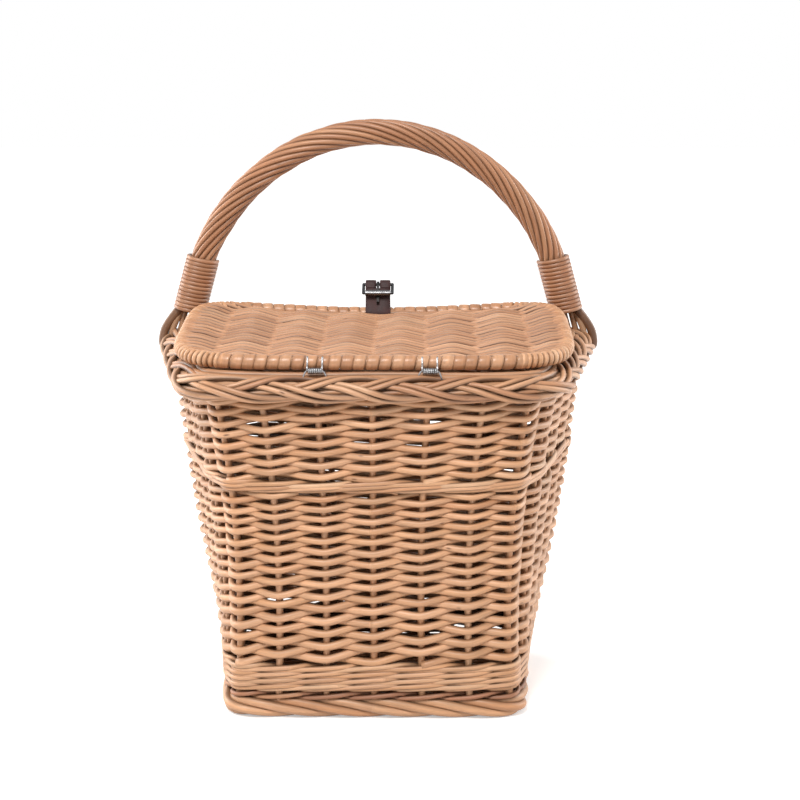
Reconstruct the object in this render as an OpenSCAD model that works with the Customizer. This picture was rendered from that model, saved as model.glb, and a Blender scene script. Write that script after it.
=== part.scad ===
// Wicker picnic basket: tapered woven body, plaited top border, hinged woven lid,
// roped bow handle with bound feet, leather strap with a roller buckle.
// Millimetres, +Z up. The wire hinges are on the -Y side, the straps on the +Y side.

/* [Body] */
// Half width of the wall at the rim, halfway back
top_half_w = 171; // [145:1:205]
// Half depth of the wall at the rim
top_half_d = 115; // [95:1:150]
// Half width of the wall at the foot
base_half_w = 136; // [110:1:165]
// Half depth of the wall at the foot
base_half_d = 81; // [70:1:110]
// Squareness of the plan at the rim, 2 is an ellipse
top_square_power = 9; // [4:0.5:14]
// Squareness of the plan at the foot
base_square_power = 13; // [4:0.5:18]
// Share by which the rim's front is wider than its middle
front_flare_share = 0.16; // [0:0.01:0.2]
// Share by which the base's front is wider than its middle
base_flare_share = 0.04; // [0:0.01:0.15]
// Height of the top border's upper side
rim_z = 325; // [265:1:385]

/* [Wall weave] */
// Spaces between stakes along the back, an even number
back_spaces = 6; // [4:2:8]
// Spaces between stakes along the wider front, an even number
front_spaces = 8; // [6:2:10]
// Spaces between stakes along a side
side_spaces = 5; // [3:1:7]
// Rows of weavers from the foot to the border
weaver_rows = 44; // [30:1:56]
// Thickness of a weaver
weaver_d = 5; // [3:0.1:7]
// How far a weaver swings in and out round a stake
weave_wave = 2.2; // [1:0.1:4]
// Rows of waling at the foot
foot_wale_rows = 5; // [3:1:7]
// First row of the band of waling higher up
mid_wale_row = 31; // [22:1:38]
// Rows in that band
mid_wale_rows = 2; // [1:1:4]
// One space between weavers in this many is open
gap_every = 11; // [9:1:40]

/* [Borders] */
// Width of the plaited top border
border_w = 27; // [18:0.5:32]
// Height of the plaited top border
border_h = 22; // [16:0.5:30]
// How far its middle lies outside the wall's middle
border_out = 3.5; // [0:0.5:10]
// Crossings of the plait round the rim
plait_count = 26; // [16:1:36]
// Width of the foot border
foot_w = 18; // [12:0.5:24]
// Height of the foot border
foot_h = 19; // [12:0.5:24]
// Rods laid round the foot border
foot_lobes = 4; // [3:1:6]
// Turns that these rods take round the border
foot_turns = 5; // [2:1:10]
// Depth of the grooves between rods in the two borders
border_groove = 2.6; // [1:0.1:4]

/* [Bottom] */
// Rods across the bottom
bottom_rods = 24; // [14:1:32]
// Sticks that the rods are woven on
bottom_sticks = 7; // [5:1:11]
// Height of the middle of the bottom above the ground
bottom_z = 10; // [6:0.5:14]
// Thickness of a bottom rod
bottom_rod_d = 5; // [3:0.1:7]

/* [Handle] */
// How far in front of the middle the handle stands
handle_y = 102; // [60:1:120]
// Half span of the bow's middle line
handle_half_span = 185; // [155:1:215]
// Rise of the bow above its centre
handle_rise = 206; // [150:0.5:250]
// How far the bow's centre lies below the tops of its bindings
bow_drop = 87.5; // [60:0.5:110]
// Thickness of the roped bow
handle_d = 24.5; // [18:0.5:30]
// Rods laid round the bow
handle_strands = 12; // [8:1:14]
// Turns that a rod takes along the bow
handle_turns = 2.5; // [1:0.25:4]
// Depth of the grooves between the rods
handle_groove = 2; // [1:0.1:3]
// Height of a binding's foot above the border
binding_lift = 17; // [12:1:28]
// Upright length of a binding
binding_l = 54; // [38:1:70]
// Thickness of the binding
binding_d = 32; // [26:0.5:38]
// Wraps in a binding
binding_wraps = 13; // [8:1:18]
// How far the foot of the straight part stands outside its top
binding_splay = 15; // [0:0.1:20]
// Thickness of the rods below the binding
leg_rod_d = 6; // [4:0.1:8]

/* [Lid] */
// How far the middle of the lid's rim lies inside the bow's feet
lid_side_in = 11; // [7:0.5:16]
// Half depth of the lid between the middles of its rim
lid_half_d = 107.5; // [90:0.5:130]
// Squareness of the lid's plan
lid_square_power = 5; // [3:0.5:8]
// Thickness of the wrapped rim
lid_rim_d = 13; // [9:0.5:16]
// Rods across the lid
lid_rods = 40; // [24:2:48]
// Spaces between the liners that the rods are woven on
lid_liners = 8; // [6:2:12]
// Thickness of a lid rod
lid_rod_d = 4.6; // [3:0.1:6]
// How far a lid rod swings up and down over a liner
lid_wave = 1.7; // [0.8:0.1:3]
// Sag of the middle of the front edge
lid_sag = 11; // [0:0.5:14]
// Angle by which the front edge rests above the back edge
lid_tilt = 4.1; // [0:0.1:6]

/* [Hinges] */
// Distance of each hinge from the middle
hinge_x = 49; // [30:1:90]
// Turns of wire in a hinge coil
coil_turns = 8; // [5:1:12]
// Thickness of the hinge wire
wire_d = 1.5; // [1:0.1:2]
// Running clearance of the pin in the coil
pin_gap = 0.05; // [0.02:0.01:0.1]

/* [Strap and buckle] */
// Width of the leather straps
strap_w = 24; // [16:1:32]
// Thickness of the leather
strap_t = 3; // [2:0.1:4]
// Height of the buckle's heel bar above the middle of the lid's front rim
heel_rise = 27; // [22:0.5:36]
// How far the heel bar stands in front of the rim's middle
heel_out = 8; // [4:0.5:14]
// Distance from the heel bar to the roller bar
buckle_l = 15; // [12:0.5:24]
// Thickness of the buckle's wire
buckle_wire_d = 3; // [2:0.1:4]
// Thickness of the roller
roller_d = 5.3; // [4.5:0.1:7]
// Thickness of the prong
prong_d = 2.4; // [1.5:0.1:3]
// Length of the hanging front strap below the border
front_strap_l = 92; // [60:1:140]
// Holes in the front strap
front_holes = 4; // [2:1:6]
// Spacing of those holes
hole_pitch = 16; // [10:1:24]
// Width of a hole
hole_d = 4; // [3:0.5:6]

/* [Hidden] */
$fn = 48;
willow = [0.76, 0.55, 0.36];
pale_willow = [0.84, 0.66, 0.46];
leather = [0.22, 0.12, 0.08];
nickel = [0.8, 0.8, 0.78];
seat_gap = 0.3;
coil_wire_share = 1.6;
arm_gap_share = 10;
bend_gap_share = 4;
slot_gap_share = 3;
corner_limit_share = 0.97;
rivet_drop_share = 0.6;
border_bottom_z = rim_z - border_h;
border_mid_z = rim_z - border_h / 2;
wall_bottom_z = foot_h + seat_gap;
wall_top_z = border_bottom_z - seat_gap;
border_half_w = top_half_w + border_out;
border_half_d = top_half_d + border_out;
hinge_y = -border_half_d + wire_d / 2;
coil_r = wire_d * coil_wire_share;
hinge_z = rim_z + coil_r + wire_d;
rim_r = lid_rim_d / 2;
stake_count = back_spaces + front_spaces + 2 * side_spaces;
lid_back_y = coil_r + wire_d + rim_r;
lid_mid_y = lid_back_y + lid_half_d;
lid_mid_z = coil_r * 2;
front_rim_y = lid_mid_y + lid_half_d;
front_rim_z = lid_mid_z - lid_sag;
heel_r = buckle_wire_d / 2;
heel_y = front_rim_y + heel_out;
heel_z = front_rim_z + heel_rise;
loop_mid_r = heel_r + pin_gap + strap_t / 2;
rim_loop_mid_r = rim_r + seat_gap + strap_t / 2;
heel_reach = norm([heel_out, heel_rise]);
strap_lean = atan2(heel_out, heel_rise) + asin((rim_loop_mid_r - loop_mid_r) / heel_reach);
roller_off = loop_mid_r + strap_t / 2 + seat_gap + prong_d + seat_gap + roller_d / 2;
frame_splay = asin(roller_off / buckle_l);
arm_x = strap_w / 2 + heel_r + pin_gap * arm_gap_share;
binding_bottom_z = rim_z + binding_lift;
binding_top_z = binding_bottom_z + binding_l;
handle_centre_z = binding_top_z - bow_drop;
leg_run = norm([binding_splay, binding_top_z - binding_bottom_z]);
leg_lean = atan2(binding_splay, binding_top_z - binding_bottom_z);
bow_start = asin((binding_top_z - handle_centre_z) / handle_rise);
leg_top_x = handle_half_span * cos(bow_start);
leg_foot_x = leg_top_x + binding_splay;
lid_half_w = leg_foot_x - lid_side_in;

// Point of a squared oval at polar angle a, wider to the front by the flare share.
function oval(hw, hd, p, flare, a) =
    let (r = pow(pow(abs(cos(a)) / hw, p) + pow(abs(sin(a)) / hd, p), -1 / p))
    [r * cos(a) * (1 + flare * r * sin(a) / hd), r * sin(a)];

// Outward unit normal of that oval.
function oval_normal(hw, hd, p, flare, a) =
    let (d = oval(hw, hd, p, flare, a + 1) - oval(hw, hd, p, flare, a - 1))
    [d.y, -d.x] / norm(d);

// Polar angles that share the oval's length out evenly, the first one at the middle of the back.
function even_angles(hw, hd, p, flare, count, phase) =
    let (fine = 360,
        run = [for (i = 0, s = 0; i <= fine;
            i = i + 1, s = s + norm(oval(hw, hd, p, flare, i - 90) - oval(hw, hd, p, flare, i - 91)))
            [s, i - 90]],
        total = run[fine][0])
    [for (k = [0 : count - 1]) lookup(total * ((k + phase) % count) / count, run)];

// Triangles between rows of points: rows of m points, joined round, first row to last row.
function tube_faces(rows, m, closed) = [
    for (i = [0 : rows - (closed ? 1 : 2)]) for (j = [0 : m - 1])
        let (a = i * m + j, b = i * m + (j + 1) % m,
            c = ((i + 1) % rows) * m + (j + 1) % m, d = ((i + 1) % rows) * m + j)
        each [[a, b, c], [a, c, d]]];

// Closes the two ends of an open tube.
function end_faces(rows, m) = concat(
    [for (j = [1 : m - 2]) [0, j + 1, j]],
    [for (j = [1 : m - 2]) [(rows - 1) * m, (rows - 1) * m + j, (rows - 1) * m + j + 1]]);

function reversed(f) = [for (t = f) [t[2], t[1], t[0]]];

// A bar of round section between two points.
module rod(p, q, d) {
    v = q - p;
    translate(p)
        rotate([0, acos(v.z / norm(v)), atan2(v.y, v.x)])
            cylinder(d = d, h = norm(v));
}

// A bent rod in an upright plane: points are X and Z, mitred at each bend.
module bent_rod(path, y, d) {
    sides = 12;
    n = len(path);
    runs = [for (i = [0 : n - 2]) let (v = path[i + 1] - path[i]) atan2(v.y, v.x)];
    pts = [for (i = [0 : n - 1])
        let (a = runs[max(0, i - 1)], b = runs[min(n - 2, i)], m = (a + b) / 2,
            w = d / 2 / cos((b - a) / 2))
        for (j = [0 : sides - 1])
            let (f = 360 * j / sides)
            [path[i].x - sin(m) * w * cos(f), y + d / 2 * sin(f), path[i].y + cos(m) * w * cos(f)]];
    polyhedron(points = pts, faces = concat(tube_faces(n, sides, false), end_faces(n, sides)));
}

// A quarter bend of wire: from the origin along +X, turning down to -Z.
module wire_bend(r, d) {
    translate([0, 0, -r])
        rotate([90, 0, 0])
            rotate_extrude(angle = 90)
                translate([r, 0])
                    circle(d = d);
}

// A flat leather run between two points of the side view, with round ends.
module strap_run(p, q, t, w) {
    v = q - p;
    translate([-w / 2, p.x, p.y])
        rotate([atan2(v.y, v.x), 0, 0])
            translate([0, 0, -t / 2])
                cube([w, norm(v), t]);
    for (e = [p, q])
        across(e, w, t / 2);
}

// A cylinder along X at a point of the side view.
module across(p, w, r) {
    translate([-w / 2, p.x, p.y])
        rotate([0, 90, 0])
            cylinder(r = r, h = w);
}

// Puts a piece in the lid's own frame: hinge axis at the origin, front to +Y.
module on_lid() {
    translate([0, hinge_y, hinge_z])
        rotate([lid_tilt, 0, 0])
            children();
}

// Woven mat inside a squared oval, its rods along X going over and under sticks along Y.
// A notch of the given half width is left in the last row, for a strap.
module mat(hw, hd, p, flare, rods, sticks, rod_d, wave, sag, slot_half_w) {
    edge_share = 0.985;
    ys = [for (j = [0 : rods]) hd * edge_share * (2 * j / rods - 1)];
    hws = [for (y = ys) hw * pow(1 - pow(abs(y) / hd, p), 1 / p) * (1 + flare * y / hd)];
    xs = [for (j = [0 : rods]) [for (i = [0 : sticks])
        let (x = hws[j] * (2 * i / sticks - 1))
        slot_half_w > 0 && j >= rods - 1 && abs(2 * i - sticks) == 2
            ? sign(x) * slot_half_w : x]];
    pts = [for (side = [1, -1]) for (j = [0 : rods]) for (i = [0 : sticks])
        [xs[j][i], ys[j],
            side * rod_d / 2 + wave * ((i + j) % 2 == 0 ? 1 : -1)
            - sag * (ys[j] + hd) / hd / 2 * (1 - pow(xs[j][i] / hw, 2))]];
    w = sticks + 1;
    low = w * (rods + 1);
    gone = [for (j = [0 : rods - 1]) [for (i = [0 : sticks - 1])
        slot_half_w > 0 && j == rods - 1 && (i == sticks / 2 || i == sticks / 2 - 1)]];
    cells = [for (j = [0 : rods - 1]) for (i = [0 : sticks - 1]) if (!gone[j][i]) [i, j]];
    skins = [for (c = cells)
        let (a = c.y * w + c.x, b = a + 1, d = a + w, e = d + 1)
        each (c.x + c.y) % 2 == 0
            ? [[a, b, d], [b, e, d], [a + low, e + low, b + low], [a + low, d + low, e + low]]
            : [[a, b, e], [a, e, d], [a + low, d + low, b + low], [b + low, d + low, e + low]]];
    edges = [for (c = cells)
        let (a = c.y * w + c.x, b = a + 1, d = a + w, e = d + 1)
        each concat(
            c.y == 0 || gone[c.y - 1][c.x] ? [[b, a, a + low], [b, a + low, b + low]] : [],
            c.y == rods - 1 || gone[c.y + 1][c.x] ? [[d, e, e + low], [d, e + low, d + low]] : [],
            c.x == 0 || gone[c.y][c.x - 1] ? [[a, d, d + low], [a, d + low, a + low]] : [],
            c.x == sticks - 1 || gone[c.y][c.x + 1] ? [[e, b, b + low], [e, b + low, e + low]] : [])];
    polyhedron(points = pts, faces = reversed(concat(skins, edges)));
}

// Bottom: a flat mat of rods on sticks, set inside the foot border.
module base_panel() {
    inset = foot_w / 2 + seat_gap;
    color(willow)
        translate([0, 0, bottom_z])
            mat(base_half_w - inset, base_half_d - inset, base_square_power, base_flare_share,
                bottom_rods, bottom_sticks, bottom_rod_d, lid_wave, 0, 0);
}

// Foot border: rods laid round each other in a ring, flat where it stands.
module foot_border() {
    steps = 56;
    around = foot_lobes * 2;
    at = even_angles(base_half_w, base_half_d, base_square_power, base_flare_share, steps, 0);
    pts = [for (i = [0 : steps - 1])
        let (p = oval(base_half_w, base_half_d, base_square_power, base_flare_share, at[i]),
            n = oval_normal(base_half_w, base_half_d, base_square_power, base_flare_share, at[i]))
        for (j = [0 : around - 1])
            let (f = 360 * (j / around + foot_turns * i / steps),
                drop = j % 2 == 0 ? 0 : border_groove,
                r = (foot_w / 2 - drop) * cos(f))
            [p.x + n.x * r, p.y + n.y * r,
                max(0, foot_h / 2 - border_groove + (foot_h / 2 + border_groove - drop) * sin(f))]];
    color(willow)
        polyhedron(points = pts, faces = tube_faces(steps, around, true));
}

// Polar angle of stake k on an oval of these half sizes, one stake at each corner, from the left of the back.
function stake_angle(k, hw, hd) =
    k < back_spaces ? atan2(-hd, hw * (2 * k / back_spaces - 1))
    : k < back_spaces + side_spaces ? atan2(hd * (2 * (k - back_spaces) / side_spaces - 1), hw)
    : k < stake_count - side_spaces
        ? atan2(hd, hw * (1 - 2 * (k - back_spaces - side_spaces) / front_spaces))
    : atan2(hd * (1 - 2 * (k - stake_count + side_spaces) / side_spaces), -hw);

// Wall: weavers swinging in and out round the stakes, with bands of waling and small gaps.
module wall_weave() {
    n = stake_count;
    rows = weaver_rows;
    half = weaver_d / 2;
    behind_share = -0.5;
    gap_w_share = 0.72;
    gap_h_share = 0.6;
    function waled(r) = r <= foot_wale_rows
        || (r >= mid_wale_row && r < mid_wale_row + mid_wale_rows);
    function wave(k, r) = waled(r)
        ? ((k + r) % 3 == 0 ? behind_share : 1)
        : ((k + r) % 2 == 0 ? 1 : -1);
    function point(k, r, side) =
        let (f = r / rows,
            hw = base_half_w + (top_half_w - base_half_w) * f,
            hd = base_half_d + (top_half_d - base_half_d) * f,
            p = oval(hw, hd, base_square_power + (top_square_power - base_square_power) * f,
                base_flare_share + (front_flare_share - base_flare_share) * f, stake_angle(k, hw, hd)),
            m = oval_normal(top_half_w, top_half_d, top_square_power, front_flare_share,
                stake_angle(k, top_half_w, top_half_d)),
            d = weave_wave * wave(k, r) + side * half)
        [p.x + m.x * d, p.y + m.y * d, wall_bottom_z + (wall_top_z - wall_bottom_z) * f];
    skin_size = n * (rows + 1);
    front = back_spaces + side_spaces + front_spaces / 2;
    function notch(k, r) = r == rows - 1 && (k == front || k == front - 1);
    function slack(k, r) = r > foot_wale_rows && r < rows - 2 && !waled(r) && !waled(r + 1)
        && (k * 5 + r * 8) % gap_every == 0;
    cells = [for (r = [0 : rows - 1]) for (k = [0 : n - 1]) if (!notch(k, r)) [k, r]];
    gaps = [for (c = cells) if (slack(c.x, c.y)) c];
    function mix4(a, b, c, d, u, v) =
        (a * (1 - u) + b * u) * (1 - v) + (d * (1 - u) + c * u) * v;
    gap_pts = [for (g = gaps) for (side = [1, -1])
        let (a = point(g.x, g.y, side), b = point((g.x + 1) % n, g.y, side),
            c = point((g.x + 1) % n, g.y + 1, side), d = point(g.x, g.y + 1, side))
        each [mix4(a, b, c, d, (1 - gap_w_share) / 2, 1 / 2),
            mix4(a, b, c, d, 1 / 2, (1 - gap_h_share) / 2),
            mix4(a, b, c, d, (1 + gap_w_share) / 2, 1 / 2),
            mix4(a, b, c, d, 1 / 2, (1 + gap_h_share) / 2)]];
    skins = [for (side = [1, -1]) for (r = [0 : rows]) for (k = [0 : n - 1]) point(k, r, side)];
    pts = concat(skins, gap_pts);
    function corner(c, u, v) = (c.y + v) * n + (c.x + u) % n;
    plain = [for (c = cells) if (!slack(c.x, c.y))
        let (a = corner(c, 0, 0), b = corner(c, 1, 0), e = corner(c, 1, 1), d = corner(c, 0, 1),
            s = skin_size)
        each (c.x + c.y) % 2 == 0
            ? [[a, b, d], [b, e, d], [a + s, e + s, b + s], [a + s, d + s, e + s]]
            : [[a, b, e], [a, e, d], [a + s, d + s, b + s], [b + s, d + s, e + s]]];
    holed = [for (i = [0 : len(gaps) - 1])
        let (c = gaps[i], a = corner(c, 0, 0), b = corner(c, 1, 0), e = corner(c, 1, 1),
            d = corner(c, 0, 1), s = skin_size, o = 2 * s + 8 * i, q = o + 4)
        each [
            [a, b, o + 1], [b, e, o + 2], [e, d, o + 3], [d, a, o],
            [a, o + 1, o], [b, o + 2, o + 1], [e, o + 3, o + 2], [d, o, o + 3],
            [b + s, a + s, q + 1], [e + s, b + s, q + 2], [d + s, e + s, q + 3], [a + s, d + s, q],
            [q + 1, a + s, q], [q + 2, b + s, q + 1], [q + 3, e + s, q + 2], [q, d + s, q + 3],
            [o, o + 1, q + 1], [o, q + 1, q], [o + 1, o + 2, q + 2], [o + 1, q + 2, q + 1],
            [o + 2, o + 3, q + 3], [o + 2, q + 3, q + 2], [o + 3, o, q], [o + 3, q, q + 3]]];
    edges = [for (c = cells)
        let (a = corner(c, 0, 0), b = corner(c, 1, 0), e = corner(c, 1, 1), d = corner(c, 0, 1),
            s = skin_size)
        each concat(
            c.y == 0 ? [[b, a, a + s], [b, a + s, b + s]] : [],
            c.y == rows - 1 || notch(c.x, c.y + 1) ? [[d, e, e + s], [d, e + s, d + s]] : [],
            notch((c.x + n - 1) % n, c.y) ? [[a, d, d + s], [a, d + s, a + s]] : [],
            notch((c.x + 1) % n, c.y) ? [[e, b, b + s], [e, b + s, e + s]] : [])];
    color(willow)
        polyhedron(points = pts, faces = reversed(concat(plain, holed, edges)));
}

// Top border: a plait round the rim, its crossings shown as chevrons.
module top_border() {
    per = 3;
    steps = plait_count * per;
    around = 12;
    hw = border_half_w;
    hd = border_half_d;
    at = even_angles(hw, hd, top_square_power, front_flare_share, steps, 0);
    pts = [for (i = [0 : steps - 1])
        let (p = oval(hw, hd, top_square_power, front_flare_share, at[i]),
            n = oval_normal(hw, hd, top_square_power, front_flare_share, at[i]))
        for (j = [0 : around - 1])
            let (f = 360 * j / around,
                turn = abs(180 - f) * 3 + 360 * i / per,
                drop = border_groove * (1 - cos(turn)) / 2,
                r = (border_w / 2 - drop) * cos(f))
            [p.x + n.x * r, p.y + n.y * r, border_mid_z + (border_h / 2 - drop) * sin(f)]];
    color(willow)
        polyhedron(points = pts, faces = tube_faces(steps, around, true));
}

// Bow: rods laid round the handle, from one binding's foot over the top to the other's.
module handle_rope() {
    around = handle_strands * 2;
    arc_steps = 34;
    leg_steps = 4;
    run = concat(
        [for (i = [0 : leg_steps - 1]) let (t = i / leg_steps)
            [leg_foot_x - binding_splay * t, binding_bottom_z + (binding_top_z - binding_bottom_z) * t,
                leg_lean]],
        [for (i = [0 : arc_steps]) let (a = bow_start + (180 - 2 * bow_start) * i / arc_steps)
            [handle_half_span * cos(a), handle_centre_z + handle_rise * sin(a),
                atan2(handle_half_span * sin(a), handle_rise * cos(a))]],
        [for (i = [1 : leg_steps]) let (t = i / leg_steps)
            [-leg_top_x - binding_splay * t, binding_top_z - (binding_top_z - binding_bottom_z) * t,
                180 - leg_lean]]);
    rows = len(run);
    pts = [for (i = [0 : rows - 1]) for (j = [0 : around - 1])
        let (f = 360 * (j / around + handle_turns * i / (rows - 1)),
            r = handle_d / 2 - (j % 2 == 0 ? 0 : handle_groove),
            o = [cos(run[i][2]), sin(run[i][2])])
        [run[i].x + o.x * r * cos(f), handle_y + r * sin(f), run[i].y + o.y * r * cos(f)]];
    color(willow)
        polyhedron(points = pts,
            faces = reversed(concat(tube_faces(rows, around, false), end_faces(rows, around))));
}

// Binding: split willow wound round the foot of the bow, drawn on the right and mirrored.
module handle_binding(side) {
    pitch = leg_run / binding_wraps;
    out = binding_d / 2;
    dip_share = 0.16;
    flat_share = 0.3;
    dip = pitch * dip_share;
    flat = pitch * flat_share;
    outline = concat(
        [[handle_d / 2 + seat_gap, 0]],
        [for (i = [0 : binding_wraps - 1]) each [
            [out - dip, i * pitch],
            [out, i * pitch + (pitch - flat) / 2],
            [out, i * pitch + (pitch + flat) / 2]]],
        [[out - dip, leg_run], [handle_d / 2 + seat_gap, leg_run]]);
    color(pale_willow)
        mirror([side < 0 ? 1 : 0, 0, 0])
            translate([leg_foot_x, handle_y, binding_bottom_z])
                rotate([0, -leg_lean, 0])
                    rotate_extrude()
                        polygon(outline);
}

// Ends of the bow's rods: two go down into the border, two pass outside it and in below.
module handle_legs(side) {
    far = handle_d / 2 - leg_rod_d / 2 - handle_groove;
    pair = leg_rod_d / 2 + seat_gap;
    reach = (binding_bottom_z - border_mid_z) / cos(leg_lean);
    depth_share = min(handle_y / border_half_d, corner_limit_share);
    border_x = border_half_w * pow(1 - pow(depth_share, top_square_power), 1 / top_square_power)
        * (1 + front_flare_share * depth_share);
    out_x = border_x + border_w / 2 + leg_rod_d / 2;
    function foot(x, drop) = [leg_foot_x + x * cos(leg_lean) + drop * sin(leg_lean),
        binding_bottom_z + x * sin(leg_lean) - drop * cos(leg_lean)];
    color(pale_willow)
        mirror([side < 0 ? 1 : 0, 0, 0])
            translate([0, handle_y, 0]) {
                for (x = [-far, -far + 2 * pair])
                    let (a = foot(x, seat_gap), b = foot(x, reach))
                    rod([a.x, 0, a.y], [b.x, 0, b.y], leg_rod_d);
                for (y = [-pair, pair])
                    bent_rod([foot(far, seat_gap * bend_gap_share), [out_x, border_mid_z + leg_rod_d],
                        [out_x, border_mid_z - leg_rod_d],
                        [out_x - border_w / 2, border_bottom_z + leg_rod_d]], y, leg_rod_d);
            }
}

// Lid mat: rods over and under the liners, with a notch for the strap by the front rim.
module lid_weave() {
    inset = rim_r + seat_gap;
    color(willow)
        on_lid()
            translate([0, lid_mid_y, lid_mid_z])
                mat(lid_half_w - inset, lid_half_d - inset, lid_square_power, 0,
                    lid_rods, lid_liners, lid_rod_d, lid_wave, lid_sag,
                    strap_w / 2 + seat_gap * slot_gap_share);
}

// Lid rim: a hoop bound with split willow.
module lid_rim() {
    steps = 84;
    around = 8;
    dip_share = 0.03;
    dip = lid_rim_d * dip_share;
    at = even_angles(lid_half_w, lid_half_d, lid_square_power, 0, steps, 0);
    pts = [for (i = [0 : steps - 1])
        let (p = oval(lid_half_w, lid_half_d, lid_square_power, 0, at[i]),
            n = oval_normal(lid_half_w, lid_half_d, lid_square_power, 0, at[i]),
            sag = lid_sag * (p.y + lid_half_d) / lid_half_d / 2 * (1 - pow(p.x / lid_half_w, 2)),
            r = rim_r - (i % 2 == 0 ? 0 : dip))
        for (j = [0 : around - 1])
            let (f = 360 * (j + 1 / 2) / around)
            [p.x + n.x * r * cos(f), p.y + n.y * r * cos(f), r * sin(f) - sag]];
    color(pale_willow)
        on_lid()
            translate([0, lid_mid_y, lid_mid_z])
                polyhedron(points = pts, faces = tube_faces(steps, around, true));
}

// Hinge coil: close wound wire with two ends pushed into the lid's rim.
module hinge_coil(side) {
    len = coil_turns * wire_d;
    bore = wire_d / 2 + pin_gap;
    dip = wire_d / 4;
    collar_share = 1.2;
    groove_share = 0.2;
    rise_share = 0.45;
    in_share = 0.6;
    collar = wire_d * collar_share;
    pitch = (len - 2 * collar) / (coil_turns - 2);
    outline = concat([[bore, 0], [coil_r, 0]],
        [for (i = [0 : coil_turns - 2]) each [
            [coil_r, collar + (i - groove_share) * pitch],
            [coil_r - dip, collar + i * pitch],
            [coil_r, collar + (i + groove_share) * pitch]]],
        [[coil_r, len], [bore, len]]);
    mid_r = (coil_r + bore) / 2;
    rise = lid_mid_z + rim_r * rise_share - wire_d;
    color(nickel)
        on_lid()
            translate([side * hinge_x, 0, 0]) union() {
                translate([-len / 2, 0, 0])
                    rotate([0, 90, 0])
                        rotate_extrude()
                            polygon(outline);
                for (e = [-1, 1])
                    translate([e * (len - collar) / 2, -mid_r, 0]) {
                        cylinder(d = wire_d, h = rise);
                        translate([0, wire_d, rise])
                            rotate([0, 0, -90])
                                translate([0, 0, wire_d])
                                    wire_bend(wire_d, wire_d);
                        translate([0, wire_d, rise + wire_d])
                            rotate([-90, 0, 0])
                                cylinder(d = wire_d, h = mid_r + lid_back_y - rim_r * in_share - wire_d);
                    }
            }
}

// Hinge pin: a wire through the coil, its two ends turned down and pushed into the border.
module hinge_pin(side) {
    reach = coil_turns * wire_d / 2 + seat_gap;
    drop = hinge_z - rim_z + border_h / 4;
    color(nickel)
        translate([side * hinge_x, hinge_y, hinge_z]) union() {
            translate([-reach, 0, 0])
                rotate([0, 90, 0])
                    cylinder(d = wire_d, h = reach * 2);
            for (e = [0, 1])
                mirror([e, 0, 0])
                    translate([reach, 0, 0]) {
                        wire_bend(wire_d, wire_d);
                        translate([wire_d, 0, -drop])
                            cylinder(d = wire_d, h = drop - wire_d);
                    }
        }
}

// Points of a closed path moved sideways by d, to the left of its run.
function moved(path, d) = [for (i = [0 : len(path) - 1])
    let (n = len(path), a = path[i] - path[(i + n - 1) % n], b = path[(i + 1) % n] - path[i],
        u = a / norm(a), v = b / norm(b), m = (u + v) / norm(u + v))
    path[i] + [-m.y, m.x] * d / (m * u)];

// Lid strap: leather looped round the lid's front rim, its layers stitched together above it
// and looped again round the buckle's heel bar, with a slot for the prong.
module lid_strap() {
    rim = [front_rim_y, front_rim_z];
    heel = [heel_y, heel_z];
    d = [sin(strap_lean), cos(strap_lean)];
    n = [-cos(strap_lean), sin(strap_lean)];
    slit = seat_gap;
    pinch_share = 2.5;
    heel_steps = 14;
    rim_steps = 20;
    loop_r = loop_mid_r - pin_gap * 2;
    pinch = heel - d * (loop_mid_r + strap_t) + n * (loop_mid_r - strap_t - slit);
    part = pinch - d * strap_t * pinch_share;
    away = part - rim;
    touch = atan2(away.y, away.x) - acos(rim_loop_mid_r / norm(away));
    path = concat(
        [for (i = [0 : heel_steps]) let (a = 180 - strap_lean - 180 * i / heel_steps)
            heel + loop_r * [cos(a), sin(a)]],
        [pinch, part],
        [for (i = [0 : rim_steps]) let (a = touch + (-180 - strap_lean - touch) * i / rim_steps)
            rim + rim_loop_mid_r * [cos(a), sin(a)]]);
    slot = prong_d + seat_gap * bend_gap_share;
    color(leather)
        on_lid()
            difference() {
                translate([-strap_w / 2, 0, 0])
                    rotate([90, 0, 90])
                        linear_extrude(strap_w)
                            difference() {
                                polygon(moved(path, strap_t / 2));
                                polygon(moved(path, -strap_t / 2));
                            }
                across(heel, strap_w * 2, heel_r + pin_gap);
                across(heel, slot, loop_mid_r + strap_t);
            }
}

// Buckle frame: a wire loop with its heel bar in the strap, hanging back against the strap.
module buckle_frame() {
    on_buckle()
        color(nickel)
            union() {
                for (z = [0, -buckle_l])
                    rod([-arm_x, 0, z], [arm_x, 0, z], buckle_wire_d);
                for (x = [-arm_x, arm_x]) {
                    rod([x, 0, -buckle_l], [x, 0, 0], buckle_wire_d);
                    for (z = [0, -buckle_l])
                        translate([x, 0, z])
                            sphere(d = buckle_wire_d);
                }
            }
}

// The buckle's own frame: heel bar along X at the origin, roller bar straight below it.
module on_buckle() {
    on_lid()
        translate([0, heel_y, heel_z])
            rotate([-strap_lean - frame_splay, 0, 0])
                children();
}

// Roller: a tube that turns on the buckle's lower bar.
module buckle_roller() {
    len = 2 * (arm_x - heel_r - seat_gap);
    on_buckle()
        color(nickel)
            translate([-len / 2, 0, -buckle_l])
                rotate([0, 90, 0])
                    difference() {
                        cylinder(d = roller_d, h = len);
                        translate([0, 0, -len / 2])
                            cylinder(r = heel_r + pin_gap, h = len * 2);
                    }
}

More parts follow.
